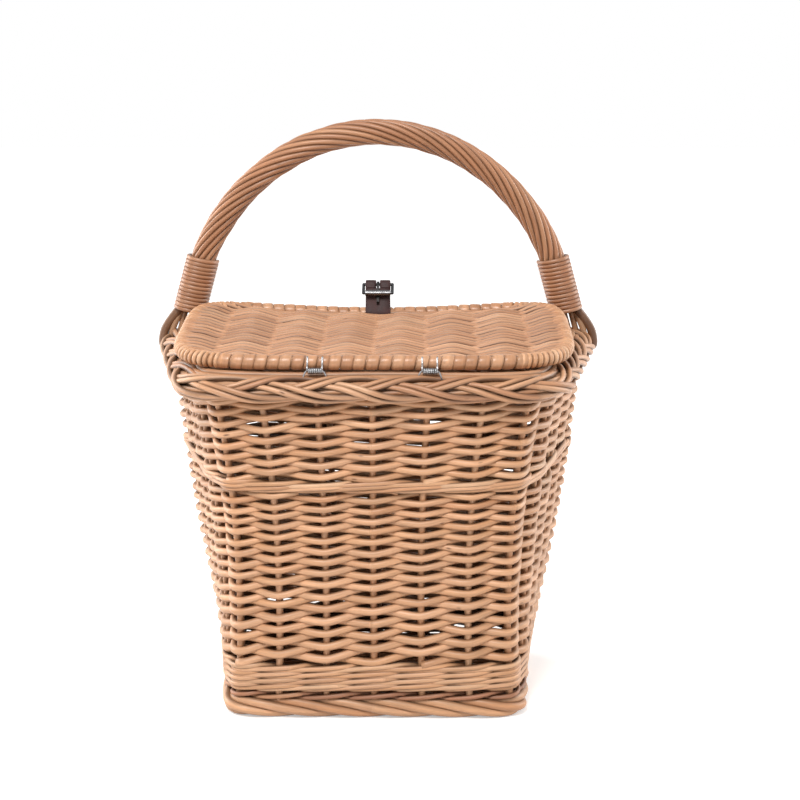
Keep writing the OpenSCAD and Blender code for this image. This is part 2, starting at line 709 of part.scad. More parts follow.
// Prong: an eye round the heel bar and a flat tongue that hangs behind the roller.
module buckle_prong() {
    eye_share = 0.6;
    tip_share = 1.25;
    point_share = 0.4;
    root_shares = [0.9, 0.3];
    heel_shares = [0.4, 0.8];
    eye_r = heel_r + pin_gap + prong_d * eye_share;
    back = loop_mid_r + strap_t / 2 + seat_gap;
    tip = buckle_l * tip_share;
    color(nickel)
        on_lid()
            translate([0, heel_y, heel_z])
                rotate([-strap_lean, 0, 0])
                    translate([-prong_d / 2, 0, 0])
                        rotate([90, 0, 90])
                            linear_extrude(prong_d)
                                difference() {
                                    union() {
                                        circle(r = eye_r);
                                        polygon([
                                            [-eye_r * root_shares.x, eye_r * root_shares.y],
                                            [-back - prong_d, -eye_r],
                                            [-back - prong_d, -tip],
                                            [-back - prong_d * point_share, -tip - prong_d],
                                            [-back, -tip],
                                            [-back, -eye_r],
                                            [-eye_r * heel_shares.x, -eye_r * heel_shares.y]]);
                                    }
                                    circle(r = heel_r + pin_gap);
                                }
}

// Front strap: leather passed over the border and back through the wall below it, then hanging.
module front_strap() {
    out_y = border_half_d + border_w / 2 + seat_gap + strap_t / 2;
    in_y = border_half_d - border_w / 2 - seat_gap - strap_t / 2;
    top_z = rim_z + seat_gap + strap_t / 2;
    pass_z = border_bottom_z - strap_t / 2 - seat_gap * slot_gap_share;
    back_y = out_y - strap_t - seat_gap;
    tip_z = border_bottom_z - front_strap_l;
    bend = strap_t;
    hole_share = 0.7;
    color(leather)
        difference() {
            union() {
                strap_run([out_y, tip_z + strap_w / 2], [out_y, top_z - bend], strap_t, strap_w);
                strap_run([out_y, top_z - bend], [out_y - bend, top_z], strap_t, strap_w);
                strap_run([out_y - bend, top_z], [in_y + bend, top_z], strap_t, strap_w);
                strap_run([in_y + bend, top_z], [in_y, top_z - bend], strap_t, strap_w);
                strap_run([in_y, top_z - bend], [in_y, pass_z + bend], strap_t, strap_w);
                strap_run([in_y, pass_z + bend], [in_y + bend, pass_z], strap_t, strap_w);
                strap_run([in_y + bend, pass_z], [back_y - bend, pass_z], strap_t, strap_w);
                strap_run([back_y - bend, pass_z], [back_y, pass_z - bend], strap_t, strap_w);
                strap_run([back_y, pass_z - bend], [back_y, pass_z - strap_w], strap_t, strap_w);
                translate([0, out_y + strap_t / 2, tip_z + strap_w / 2])
                    rotate([90, 0, 0])
                        cylinder(d = strap_w, h = strap_t);
            }
            for (i = [0 : front_holes - 1])
                translate([0, out_y + strap_t, tip_z + strap_w * hole_share + i * hole_pitch])
                    rotate([90, 0, 0])
                        cylinder(d = hole_d, h = strap_t * 2);
            translate([0, out_y + strap_t, pass_z - strap_w * rivet_drop_share])
                rotate([90, 0, 0])
                    cylinder(d = hole_d, h = strap_t * 4);
        }
}

// Rivet through the two layers of the front strap.
module front_rivet() {
    out_y = border_half_d + border_w / 2 + seat_gap + strap_t / 2;
    pass_z = border_bottom_z - strap_t / 2 - seat_gap * slot_gap_share;
    grip = strap_t * 2 + seat_gap;
    head = strap_t / 3;
    color(nickel)
        translate([0, out_y + strap_t / 2, pass_z - strap_w * rivet_drop_share])
            rotate([90, 0, 0]) {
                cylinder(r = hole_d / 2 - pin_gap, h = grip);
                translate([0, 0, -head])
                    cylinder(d = hole_d * 2, h = head);
                translate([0, 0, grip])
                    cylinder(d = hole_d * 2, h = head);
            }
}

base_panel();
foot_border();
wall_weave();
top_border();
handle_rope();
handle_binding(-1);  // handle_binding_left
handle_binding(1);  // handle_binding_right
handle_legs(-1);  // handle_legs_left
handle_legs(1);  // handle_legs_right
lid_weave();
lid_rim();
hinge_coil(-1);  // hinge_coil_left
hinge_coil(1);  // hinge_coil_right
hinge_pin(-1);  // hinge_pin_left
hinge_pin(1);  // hinge_pin_right
lid_strap();
buckle_frame();
buckle_roller();
buckle_prong();
front_strap();
front_rivet();
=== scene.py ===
import math
import bpy
import numpy as np
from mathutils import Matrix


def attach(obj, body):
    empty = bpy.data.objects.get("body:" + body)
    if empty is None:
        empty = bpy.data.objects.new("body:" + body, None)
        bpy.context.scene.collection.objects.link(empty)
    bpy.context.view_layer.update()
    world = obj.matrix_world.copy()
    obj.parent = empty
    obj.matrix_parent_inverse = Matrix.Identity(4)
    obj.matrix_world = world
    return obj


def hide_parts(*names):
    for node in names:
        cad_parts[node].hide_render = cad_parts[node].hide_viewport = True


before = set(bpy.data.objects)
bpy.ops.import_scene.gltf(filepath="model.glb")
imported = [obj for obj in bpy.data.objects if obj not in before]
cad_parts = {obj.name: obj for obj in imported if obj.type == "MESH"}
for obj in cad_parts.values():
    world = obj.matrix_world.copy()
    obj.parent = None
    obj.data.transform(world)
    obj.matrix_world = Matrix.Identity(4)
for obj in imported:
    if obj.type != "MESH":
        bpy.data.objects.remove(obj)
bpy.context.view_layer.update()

# Studio and camera
# A pale floor that glows as painted light, more faintly near the basket, and white surroundings with
# soft light from above and both sides.
# The camera looks at the hinge side from a little above the lid, as in the photograph.
focal_px, frame_px, off_centre_px = 1797.0, 800.0, 25.0
sensor_mm = 36.0
stand_off, eye_z = 1.615, 0.6436
walk_right, look_down = math.radians(1.4), math.radians(12.79)
look_right = math.atan(off_centre_px / focal_px) - walk_right
lens = bpy.data.cameras.new("camera")
lens.sensor_width = sensor_mm
lens.lens = sensor_mm * focal_px / frame_px
camera = bpy.data.objects.new("camera", lens)
camera.location = (stand_off * math.sin(walk_right), -stand_off * math.cos(walk_right), eye_z)
camera.rotation_euler = (math.pi / 2 - look_down, 0.0, -look_right)
bpy.context.scene.collection.objects.link(camera)
bpy.context.scene.camera = camera
bpy.context.scene.view_settings.view_transform = "Standard"


def add_node(tree, kind, **inputs):
    """A shader node of that kind, with its settings and its sockets given by name, or by i and a number."""
    node = tree.nodes.new(kind)
    for key, value in inputs.items():
        if hasattr(node, key) and key not in node.inputs:
            setattr(node, key, value)
            continue
        numbered = key[1:].isdigit()
        socket = node.inputs[int(key[1:])] if numbered else node.inputs[key.replace("_", " ")]
        if isinstance(value, bpy.types.NodeSocket):
            tree.links.new(value, socket)
        else:
            socket.default_value = value
    return node


def soft_light(name, place, aim, size, watts, tint):
    """A square lamp at a place, turned to face a point."""
    data = bpy.data.lights.new(name, "AREA")
    data.shape, data.size, data.energy, data.color = "SQUARE", size, watts, tint
    lamp = bpy.data.objects.new(name, data)
    lamp.location = place
    away = np.array(place) - np.array(aim)
    lamp.rotation_euler = (math.acos(away[2] / np.linalg.norm(away)), 0.0,
                           math.atan2(away[1], away[0]) + math.pi / 2)
    bpy.context.scene.collection.objects.link(lamp)


def rays_seen(tree, *kinds):
    """1 for a camera ray or a ray of the kinds named, else 0: the largest of those light path outputs."""
    path = add_node(tree, "ShaderNodeLightPath")
    seen = path.outputs["Is Camera Ray"]
    for kind in kinds:
        larger = add_node(tree, "ShaderNodeMath", operation="MAXIMUM", i0=seen, i1=path.outputs[kind])
        seen = larger.outputs[0]
    return seen


def blank_material(name):
    """A material whose node tree is still empty, and that tree."""
    made = bpy.data.materials.new(name)
    made.use_nodes = True
    made.node_tree.nodes.clear()
    return made, made.node_tree


middle, side_size = (0.0, 0.0, 0.22), 1.2
warm_white, side_white = (1.0, 0.98, 0.95), (1.0, 0.99, 0.97)
soft_light("lamp_above", place=(-0.35, -1.25, 1.75), aim=middle, size=0.7, watts=35.0, tint=warm_white)
soft_light("lamp_left", place=(-1.5, 0.55, 0.75), aim=middle, size=side_size, watts=25.0, tint=side_white)
soft_light("lamp_right", place=(1.5, 0.45, 0.75), aim=middle, size=side_size, watts=19.0, tint=side_white)

white, paper_grey = (1.0, 1.0, 1.0, 1.0), (0.82, 0.82, 0.82, 1.0)
world = bpy.data.worlds.new("studio")
bpy.context.scene.world = world
world.use_nodes = True
sky = world.node_tree
sky.nodes.clear()
fill = add_node(sky, "ShaderNodeBackground", Color=white, Strength=0.40)
backdrop = add_node(sky, "ShaderNodeBackground", Color=white, Strength=1.0)
both = add_node(sky, "ShaderNodeMixShader", i0=rays_seen(sky, "Is Glossy Ray", "Is Transmission Ray"),
                i1=fill.outputs[0], i2=backdrop.outputs[0])
add_node(sky, "ShaderNodeOutputWorld", Surface=both.outputs[0])

floor_reach = 6.0
floor_corners = [(-floor_reach, -floor_reach, 0.0), (floor_reach, -floor_reach, 0.0),
                 (floor_reach, floor_reach, 0.0), (-floor_reach, floor_reach, 0.0)]
floor_mesh = bpy.data.meshes.new("floor")
floor_mesh.from_pydata(floor_corners, [], [(0, 1, 2, 3)])
floor = bpy.data.objects.new("floor", floor_mesh)
bpy.context.scene.collection.objects.link(floor)
paper, tree = blank_material("pale_floor")
matt = add_node(tree, "ShaderNodeBsdfDiffuse", Color=paper_grey)
# Painted light: the floor glows, faintly near the basket so that its shadow shows, and more strongly further
# off so that the floor reads white.
glow_by_reach = add_node(tree, "ShaderNodeTexCoord")
glow_by_reach = add_node(tree, "ShaderNodeVectorMath", operation="LENGTH", i0=glow_by_reach.outputs["Object"])
glow_by_reach = add_node(tree, "ShaderNodeMapRange", Value=glow_by_reach.outputs["Value"], From_Min=0.18, From_Max=1.1,
                To_Min=0.40, To_Max=0.85)
glow = add_node(tree, "ShaderNodeEmission", Color=white, Strength=glow_by_reach.outputs[0])
lit = add_node(tree, "ShaderNodeAddShader", i0=matt.outputs[0], i1=glow.outputs[0])
both = add_node(tree, "ShaderNodeMixShader", i0=rays_seen(tree, "Is Glossy Ray"), i1=matt.outputs[0],
                i2=lit.outputs[0])
add_node(tree, "ShaderNodeOutputMaterial", Surface=both.outputs[0])
floor_mesh.materials.append(paper)

# Stakes
# Twenty-four upright willow rods that carry the wall, pushed in beside the bottom sticks and turned
# down into the top border. One stands at each corner, and they spread as they rise.
MM = 0.001
chance = np.random.default_rng(11)
back_spaces, side_spaces, front_spaces = 6, 5, 8
corner_stakes = np.cumsum([0, back_spaces, side_spaces, front_spaces, side_spaces])
stake_count = int(corner_stakes[-1])
wall_low, wall_high = 19.3 * MM, 302.7 * MM
top_half_w, top_half_d, top_power = 171 * MM, 115 * MM, 9.0
base_half_w, base_half_d, base_power = 136 * MM, 81 * MM, 13.0
front_flare, base_flare, mid_flare = 0.16, 0.04, 0.072
# In spaces between stakes: how far a bend is eased, and how far apart a normal is measured
ease_spaces, aim_spaces = 0.13, 0.04
stake_d, stake_taper_share = 7.0 * MM, 0.12
stake_low_share, stake_high_share, stake_points = -0.05, 1.03, 30


def oval(half_w, half_d, power, flare, turn):
    """Squared oval: r = (|cos a / w|^p + |sin a / d|^p)^(-1/p), its x stretched by 1 + flare r sin a / d."""
    c, s = np.cos(turn), np.sin(turn)
    r = ((np.abs(c) / half_w) ** power + (np.abs(s) / half_d) ** power) ** (-1.0 / power)
    return np.stack([r * c * (1.0 + flare * r * s / half_d), r * s], -1)


def stake_foot(number, height):
    """Plan point of a stake at a share of the wall's height: the oval between base and rim, flared a little
    more halfway up, at the polar angle of the place that lies evenly between corners of the box round it."""
    half_w = base_half_w + (top_half_w - base_half_w) * height
    half_d = base_half_d + (top_half_d - base_half_d) * height
    power = base_power + (top_power - base_power) * height
    flare = base_flare + (front_flare - base_flare) * height + mid_flare * 4.0 * height * (1.0 - height)
    number = np.mod(number, stake_count)
    turn = np.arctan2(half_d * np.interp(number, corner_stakes, [-1, -1, 1, 1, -1]),
                      half_w * np.interp(number, corner_stakes, [-1, 1, 1, -1, -1]))
    return oval(half_w, half_d, power, flare, turn)


def wall_at(stake, height):
    """Plan point and outward normal of the wall at a stake number and a share of its height: straight from
    stake to stake, eased by the mean of five places a short way to both sides."""
    shifts = ease_spaces * np.linspace(-1.0, 1.0, 5)

    def plan(s):
        total = 0.0
        for shift in shifts:
            first = np.floor(s + shift)
            part = (s + shift - first)[..., None]
            total = total + stake_foot(first, height) * (1.0 - part) + stake_foot(first + 1.0, height) * part
        return total / len(shifts)

    step = plan(stake + aim_spaces) - plan(stake - aim_spaces)
    step = step / np.linalg.norm(step, axis=-1, keepdims=True)
    return plan(stake), np.stack([step[..., 1], -step[..., 0]], -1)


def raised(plan, normal, level, out):
    """Space points: plan points moved outwards along their normals, at a level."""
    moved = plan + normal * np.asarray(out)[..., None]
    return np.concatenate([moved, np.broadcast_to(level, moved.shape[:-1])[..., None]], -1)


def flat(normal):
    """Plan normals as space vectors."""
    return np.concatenate([normal, np.zeros(normal.shape[:-1] + (1,))], -1)


def swept(name, path, facing, thick, sides=8, wide=1.0, closed=False, tone=None, power=2.0):
    """Rods as one mesh: at each path point a ring c * across + s * facing, where c and s run round a circle
    or a squared circle, thick is the radius along facing and wide times it the radius across.
    The UV map holds metres along and the share round; the rod attribute holds each rod's own tone."""
    path = np.asarray(path, float)
    count, steps = path.shape[:2]
    along = np.gradient(path, axis=1)
    if closed:
        along = np.roll(path, -1, 1) - np.roll(path, 1, 1)
    along = along / np.linalg.norm(along, axis=-1, keepdims=True)
    across = np.cross(along, np.broadcast_to(facing, path.shape))
    across = across / np.linalg.norm(across, axis=-1, keepdims=True)
    upright = np.cross(across, along)
    turn = 2.0 * np.pi * (np.arange(sides) + 0.5) / sides
    c, s = np.cos(turn), np.sin(turn)
    bulge = (np.abs(c) ** power + np.abs(s) ** power) ** (-1.0 / power)
    radius = np.broadcast_to(np.asarray(thick, float), (count, steps))[..., None, None]
    broad = np.broadcast_to(np.asarray(wide, float), (count, steps))[..., None, None]
    ring = across[:, :, None] * (c * bulge)[:, None] * broad + upright[:, :, None] * (s * bulge)[:, None]
    points = (path[:, :, None] + ring * radius).reshape(-1, 3)
    rows = steps if closed else steps - 1
    r, i, j = np.meshgrid(np.arange(count), np.arange(rows), np.arange(sides), indexing="ij")
    up, over = (i + 1) % steps, (j + 1) % sides
    corners = np.stack([(r * steps + i) * sides + j, (r * steps + up) * sides + j,
                        (r * steps + up) * sides + over, (r * steps + i) * sides + over], -1).reshape(-1, 4)
    gaps = np.linalg.norm(np.diff(path, axis=1), axis=-1)
    gone = np.concatenate([np.zeros((count, 1)), np.cumsum(gaps, axis=1)], 1)
    if closed:
        last_gap = np.linalg.norm(path[:, :1] - path[:, -1:], axis=-1)
        gone = np.concatenate([gone, gone[:, -1:] + last_gap], 1)
    u = np.stack([gone[r, i], gone[r, i + 1], gone[r, i + 1], gone[r, i]], -1).reshape(-1)
    v = (np.stack([j, j, j + 1, j + 1], -1) / sides).reshape(-1)
    loops, starts = corners.reshape(-1), np.arange(len(corners)) * 4
    if not closed:
        ends = np.arange(sides)
        first = (np.arange(count)[:, None] * steps * sides + ends).reshape(-1)
        last = (((np.arange(count)[:, None] + 1) * steps - 1) * sides + ends[::-1]).reshape(-1)
        starts = np.concatenate([starts, len(loops) + np.arange(2 * count) * sides])
        loops = np.concatenate([loops, first, last])
        u = np.concatenate([u, np.zeros(2 * count * sides)])
        v = np.concatenate([v, np.zeros(2 * count * sides)])
    if tone is None:
        tone = chance.random((count, 1))
    tone = np.repeat(np.broadcast_to(tone, (count, steps)).reshape(-1), sides)
    return mesh_of(name, points, loops, starts, u, v, tone)


def mesh_of(name, points, loops, starts, u, v, tone):
    """A smooth object from flat arrays of points, face corners, face starts, UV places and tones."""
    mesh = bpy.data.meshes.new(name)
    mesh.vertices.add(len(points))
    mesh.vertices.foreach_set("co", np.ascontiguousarray(points, np.float32).ravel())
    mesh.loops.add(len(loops))
    mesh.loops.foreach_set("vertex_index", loops.astype(np.int32))
    mesh.polygons.add(len(starts))
    mesh.polygons.foreach_set("loop_start", starts.astype(np.int32))
    mesh.update(calc_edges=True)
    layer = mesh.uv_layers.new(name="rod_uv")
    layer.data.foreach_set("uv", np.stack([u, v], -1).astype(np.float32).ravel())
    held = mesh.attributes.new("rod", "FLOAT", "POINT")
    held.data.foreach_set("value", np.asarray(tone, np.float32))
    mesh.polygons.foreach_set("use_smooth", np.ones(len(starts), bool))
    mesh.validate()
    piece = bpy.data.objects.new(name, mesh)
    bpy.context.scene.collection.objects.link(piece)
    return piece


def willow(name, shades, matt, knots, crevice_shade):
    """Buff willow: the rod's tone picks its colour, streaks and mottling run along it, and knots darken
    spots. Painted shade darkens the rod's sides, where crevices fall, down to the crevice shade share. The
    streaks dent it and vary its roughness round the matt value."""
    made, t = blank_material(name)
    knot_brown, tone_spread, side_shade_turn = (0.11, 0.040, 0.016, 1.0), (0.0, 0.0, 40.0), 0.35
    uv = add_node(t, "ShaderNodeUVMap", uv_map="rod_uv")
    tone = add_node(t, "ShaderNodeAttribute", attribute_name="rod")
    apart = add_node(t, "ShaderNodeCombineXYZ", X=0.0, Y=0.0, Z=tone.outputs["Fac"])
    shift = add_node(t, "ShaderNodeVectorMath", operation="MULTIPLY_ADD", i0=apart.outputs[0],
                     i1=tone_spread, i2=uv.outputs[0])
    lengthwise = add_node(t, "ShaderNodeMapping", Vector=shift.outputs[0], Scale=(38.0, 9.0, 1.0))
    streak = add_node(t, "ShaderNodeTexNoise", Vector=lengthwise.outputs[0], Scale=1.0, Detail=5.0,
                      Roughness=0.62)
    blotchy = add_node(t, "ShaderNodeMapping", Vector=shift.outputs[0], Scale=(14.0, 1.4, 1.0))
    blotch = add_node(t, "ShaderNodeTexNoise", Vector=blotchy.outputs[0], Scale=1.0, Detail=2.0)
    ramp = add_node(t, "ShaderNodeValToRGB", Fac=tone.outputs["Fac"])
    ramp.color_ramp.elements[0].color = (*shades[0], 1.0)
    ramp.color_ramp.elements[1].color = (*shades[-1], 1.0)
    for k, shade in enumerate(shades[1:-1]):
        stop = ramp.color_ramp.elements.new((k + 1) / (len(shades) - 1))
        stop.color = (*shade, 1.0)
    grain = add_node(t, "ShaderNodeMapRange", Value=streak.outputs["Fac"], From_Min=0.3, From_Max=0.7,
                     To_Min=0.80, To_Max=1.12)
    cloud = add_node(t, "ShaderNodeMapRange", Value=blotch.outputs["Fac"], From_Min=0.3, From_Max=0.7,
                     To_Min=0.84, To_Max=1.10)
    light = add_node(t, "ShaderNodeMath", operation="MULTIPLY", i0=grain.outputs[0], i1=cloud.outputs[0])
    split = add_node(t, "ShaderNodeSeparateXYZ", Vector=uv.outputs[0])
    # Painted shade: the rod's sides, turned away from its outward face and into the crevices, are darkened.
    round_it = add_node(t, "ShaderNodeMath", operation="MULTIPLY_ADD", i0=split.outputs["Y"],
                        i1=2.0 * math.pi, i2=side_shade_turn)
    outer = add_node(t, "ShaderNodeMath", operation="SINE", i0=round_it.outputs[0])
    painted_side_shade = add_node(t, "ShaderNodeMapRange", Value=outer.outputs[0], From_Min=0.15, From_Max=0.92,
                      To_Min=crevice_shade, To_Max=1.0)
    light = add_node(t, "ShaderNodeMath", operation="MULTIPLY", i0=light.outputs[0], i1=painted_side_shade.outputs[0])
    shaded = add_node(t, "ShaderNodeVectorMath", operation="SCALE", i0=ramp.outputs["Color"],
                      Scale=light.outputs[0])
    spots = add_node(t, "ShaderNodeMapping", Vector=shift.outputs[0], Scale=(30.0, 1.6, 1.0))
    cell = add_node(t, "ShaderNodeTexVoronoi", Vector=spots.outputs[0], Scale=1.0, Randomness=1.0)
    knot = add_node(t, "ShaderNodeMapRange", Value=cell.outputs["Distance"], From_Min=0.03, From_Max=0.10,
                    To_Min=knots, To_Max=0.0)
    final = add_node(t, "ShaderNodeMix", data_type="RGBA", i0=knot.outputs[0], i6=shaded.outputs[0],
                     i7=knot_brown)
    rough = add_node(t, "ShaderNodeMapRange", Value=streak.outputs["Fac"], From_Min=0.3, From_Max=0.7,
                     To_Min=matt + 0.10, To_Max=matt - 0.06)
    dent = add_node(t, "ShaderNodeBump", Height=streak.outputs["Fac"], Strength=0.25, Distance=0.0008)
    skin = add_node(t, "ShaderNodeBsdfPrincipled", Base_Color=final.outputs[2], Roughness=rough.outputs[0],
                    Normal=dent.outputs[0], Specular_IOR_Level=0.5)
    add_node(t, "ShaderNodeOutputMaterial", Surface=skin.outputs[0])
    return made


def finish_piece(piece, body, material, slot, *nodes):
    """Gives a piece its material and body, and hides the CAD nodes that it stands for. Its slot is not used.
    """
    piece.data.materials.append(material)
    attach(piece, body)
    if nodes:
        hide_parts(*nodes)


tan_shades = [(0.52, 0.255, 0.125), (0.60, 0.320, 0.165), (0.66, 0.370, 0.210), (0.56, 0.290, 0.150),
              (0.70, 0.420, 0.245)]
willow_tan = willow("willow_tan", tan_shades, matt=0.42, knots=0.85, crevice_shade=0.62)
rise = np.linspace(stake_low_share, stake_high_share, stake_points) + np.zeros((stake_count, 1))
stake_no = np.arange(stake_count)[:, None] + np.zeros(stake_points)
plan, normal = wall_at(stake_no, np.clip(rise, 0.0, 1.0))
level = wall_low + (wall_high - wall_low) * rise
stakes = swept("stakes", raised(plan, normal, level, np.zeros(rise.shape)), flat(normal),
               0.5 * stake_d * (1.0 - stake_taper_share * rise), sides=10)
finish_piece(stakes, "basket", willow_tan, "willow", "wall_weave")

# Wall weavers
# Round willow rods woven in front of one stake and behind the next, twelve at a time, so that each rod
# climbs to the right: level up to the stake that it crosses, then rising to slip behind the next.
weavers, weaver_fine = stake_count // 2, 10
# A weaver's thickness in rows, and how far it swings in and out
weaver_share, swing = 1.2, 4.7 * MM
climb_share, climb_mid_share, weaver_kink, row_start_share = 0.62, 0.35, 0.012, 0.1
level_wander, swing_wander = 0.6 * MM, 0.35 * MM
# Spaces that one rod passes and that its end is shifted by, and how it thins from its butt
rod_spaces, rod_stagger, butt_share, taper_share = 18.0, 3.0, 1.06, 0.12
wale_top, band_low, band_high = 55 * MM, 217 * MM, 230 * MM
# How far the rows run into the foot waling, the band from below and above, and the border
tuck_foot, tuck_under, tuck_over, tuck_border = 2.0 * MM, 1.0 * MM, 1.2 * MM, 3.0 * MM


def climb(phase, kink):
    """A bent rod's height over an even slope: sqrt(sin^2(phase / 2) + kink), from 0 at the bend to 1."""
    low, high = math.sqrt(kink), math.sqrt(1.0 + kink)
    return (np.sqrt(np.sin(0.5 * phase) ** 2 + kink) - low) / (high - low)


def wander(stake, size):
    """Smooth hand-made unevenness: random values at each stake, joined by half cosines."""
    first, count = int(np.floor(stake.min())) - 1, int(np.ceil(np.ptp(stake))) + 6
    values = chance.normal(0.0, size, (stake.shape[0], count))
    place = stake - first
    low = np.floor(place).astype(int)
    mix = 0.5 - 0.5 * np.cos(np.pi * (place - low))
    rod = np.arange(stake.shape[0])[:, None]
    return values[rod, low] * (1.0 - mix) + values[rod, low + 1] * mix


def share_up(level):
    """A level as a share of the wall's height."""
    return (level - wall_low) / (wall_high - wall_low)


def randing(name, low, high, rows, thin):
    """Weavers between two levels: rod m stands at row m + stake / 2, in front where stake + m is even.
    Rows rise by u + thin * u * (1 - u), so that the rods are thicker and further apart lower down."""
    tall = high - low
    steps = int((rows - 2.0 * row_start_share) * 2 * weaver_fine)
    m = np.arange(weavers)[:, None]
    stake = -2.0 * m + np.arange(steps)[None, :] / weaver_fine
    phase = np.pi * (stake + m)
    row = m + 0.5 * stake + row_start_share
    u = (row + climb_share * (climb(phase, weaver_kink) - climb_mid_share)) / rows
    level = low + tall * (u + thin * u * (1.0 - u)) + wander(stake, level_wander)
    out = swing * np.cos(phase) + wander(stake, swing_wander)
    plan, normal = wall_at(stake, share_up(level))
    gone = (stake + rod_stagger * m) / rod_spaces
    rod = np.floor(gone).astype(int)
    tone = chance.random((weavers, rod.max() - rod.min() + 1))[m, rod - rod.min()]
    taper = butt_share - taper_share * (gone - rod)
    thick = 0.5 * weaver_share * tall / rows * (1.0 + thin * (1.0 - 2.0 * u)) * taper
    piece = swept(name, raised(plan, normal, level, out), flat(normal), thick, sides=8, tone=tone)
    finish_piece(piece, "basket", willow_tan, "willow")


randing("lower_weavers", wale_top - tuck_foot, band_low + tuck_under, rows=30, thin=0.17)
randing("upper_weavers", band_high - tuck_over, wall_high + tuck_border, rows=15, thin=0.0)

# Waling
# Three rods worked together, each in front of two stakes and behind one, so that they wind round each other
# like a rope. Four rounds bind the foot of the wall over a pair of barked rods, and two make a band above.
wale_fine, wale_lift_share, wale_wander = 9, 0.8, 0.3 * MM
# How far a rod stands out, how deep it dips behind a stake, and how it crosses the others in front
wale_out, wale_dip_share, wale_dip_spaces = 5.2 * MM, 1.9, 0.46
wale_cross, cross_from, cross_spaces = 2.1 * MM, 0.24, 0.4
wale_spaces, wale_stagger = 13.0, 7.0
pair_low, pair_high, foot_wale_low = wall_low - 2.2 * MM, wall_low + 4.6 * MM, wall_low + 3.2 * MM


def waling(name, low, high, rounds, start, strands, rod_d, material):
    """Rod i at stake s: phase t = s + i modulo the strands, behind at 0, rising from low to high in front,
    where each rod also crosses outwards over the one before it."""
    pitch = (high - low) / rounds
    steps = int(rounds * stake_count * wale_fine) + 1
    i = np.arange(strands)[:, None]
    stake = start + np.arange(steps)[None, :] / wale_fine + np.zeros((strands, 1))
    t = np.mod(stake + i, strands)
    near = np.minimum(t, strands - t)
    back = np.where(t > strands - 0.5, t - strands + 0.5, t + 0.5)
    lift = np.where(near < 0.5, 0.5 - back, (t - 0.5) / (strands - 1.0) - 0.5)
    gone = np.arange(steps)[None, :] / (steps - 1.0)
    level = low + pitch * (0.5 + gone * (rounds - 1.0) + wale_lift_share * lift) + wander(stake, wale_wander)
    out = wale_out * (1.0 - wale_dip_share * np.exp(-(near / wale_dip_spaces) ** 2))
    crossing = np.clip((near - cross_from) / cross_spaces, 0.0, 1.0)
    out = out + wale_cross * (2.0 * t / strands - 1.0) * crossing
    plan, normal = wall_at(stake, share_up(level))
    rod = np.floor((stake - start + wale_stagger * i) / wale_spaces).astype(int)
    tone = chance.random((strands, rod.max() + 1))[i, rod]
    piece = swept(name, raised(plan, normal, level, out), flat(normal), 0.5 * rod_d, sides=8, tone=tone)
    finish_piece(piece, "basket", material, "willow")


barked_shades = [(0.30, 0.115, 0.062), (0.52, 0.265, 0.135), (0.36, 0.150, 0.080), (0.58, 0.310, 0.160)]
barked = willow("barked_willow", barked_shades, matt=0.45, knots=0.5, crevice_shade=0.45)
wale_tan = willow("wale_tan", tan_shades, matt=0.42, knots=0.85, crevice_shade=0.24)
waling("foot_pair", pair_low, pair_high, rounds=1.0, start=12.4, strands=2, rod_d=4.4 * MM, material=barked)
waling("foot_wale", foot_wale_low, wale_top, rounds=4.0, start=13.3, strands=3, rod_d=5.0 * MM,
       material=wale_tan)
waling("band_wale", band_low, band_high, rounds=2.0, start=9.7, strands=3, rod_d=4.6 * MM, material=wale_tan)

# Foot border
# Thick rods laid round each other below the wall, so that each runs down to the right and under. The
# basket stands on them.
foot_rods, foot_turns, foot_rod_d, foot_lengths, foot_points = 4, 5, 8.3 * MM, 6, 420
foot_mid, foot_in, foot_up = 9.6 * MM, 5.0 * MM, 5.4 * MM
measure_points = 2881


def hoop_line(half_w, half_d, power, flare, points):
    """Even places round an oval, from the middle of the back: their shares of its length, plan points, steps
    from the one before to the one after, and outward normals."""
    share = np.arange(points) / points
    turn = np.linspace(-0.5 * np.pi, 1.5 * np.pi, measure_points)
    gaps = np.linalg.norm(np.diff(oval(half_w, half_d, power, flare, turn), axis=0), axis=1)
    run = np.concatenate([[0.0], np.cumsum(gaps)])
    line = oval(half_w, half_d, power, flare, np.interp(share * run[-1], run, turn))
    step = np.roll(line, -1, 0) - np.roll(line, 1, 0)
    normal = np.stack([step[:, 1], -step[:, 0]], -1) / np.linalg.norm(step, axis=1, keepdims=True)
    return share, line, step, normal


packed_tan = willow("packed_tan", tan_shades, matt=0.42, knots=0.85, crevice_shade=0.38)
share, plan, step, normal = hoop_line(base_half_w, base_half_d, base_power, base_flare, foot_points)
spin = 2.0 * np.pi * (np.arange(foot_rods)[:, None] / foot_rods - foot_turns * share)
path = raised(plan, normal, foot_mid + foot_up * np.sin(spin), foot_in * np.cos(spin))
tone = chance.random((foot_rods, foot_lengths))[:, np.arange(foot_points) * foot_lengths // foot_points]
foot = swept("foot_border_rods", path, flat(normal), 0.5 * foot_rod_d, sides=10, closed=True, tone=tone)
finish_piece(foot, "basket", packed_tan, "willow", "foot_border")

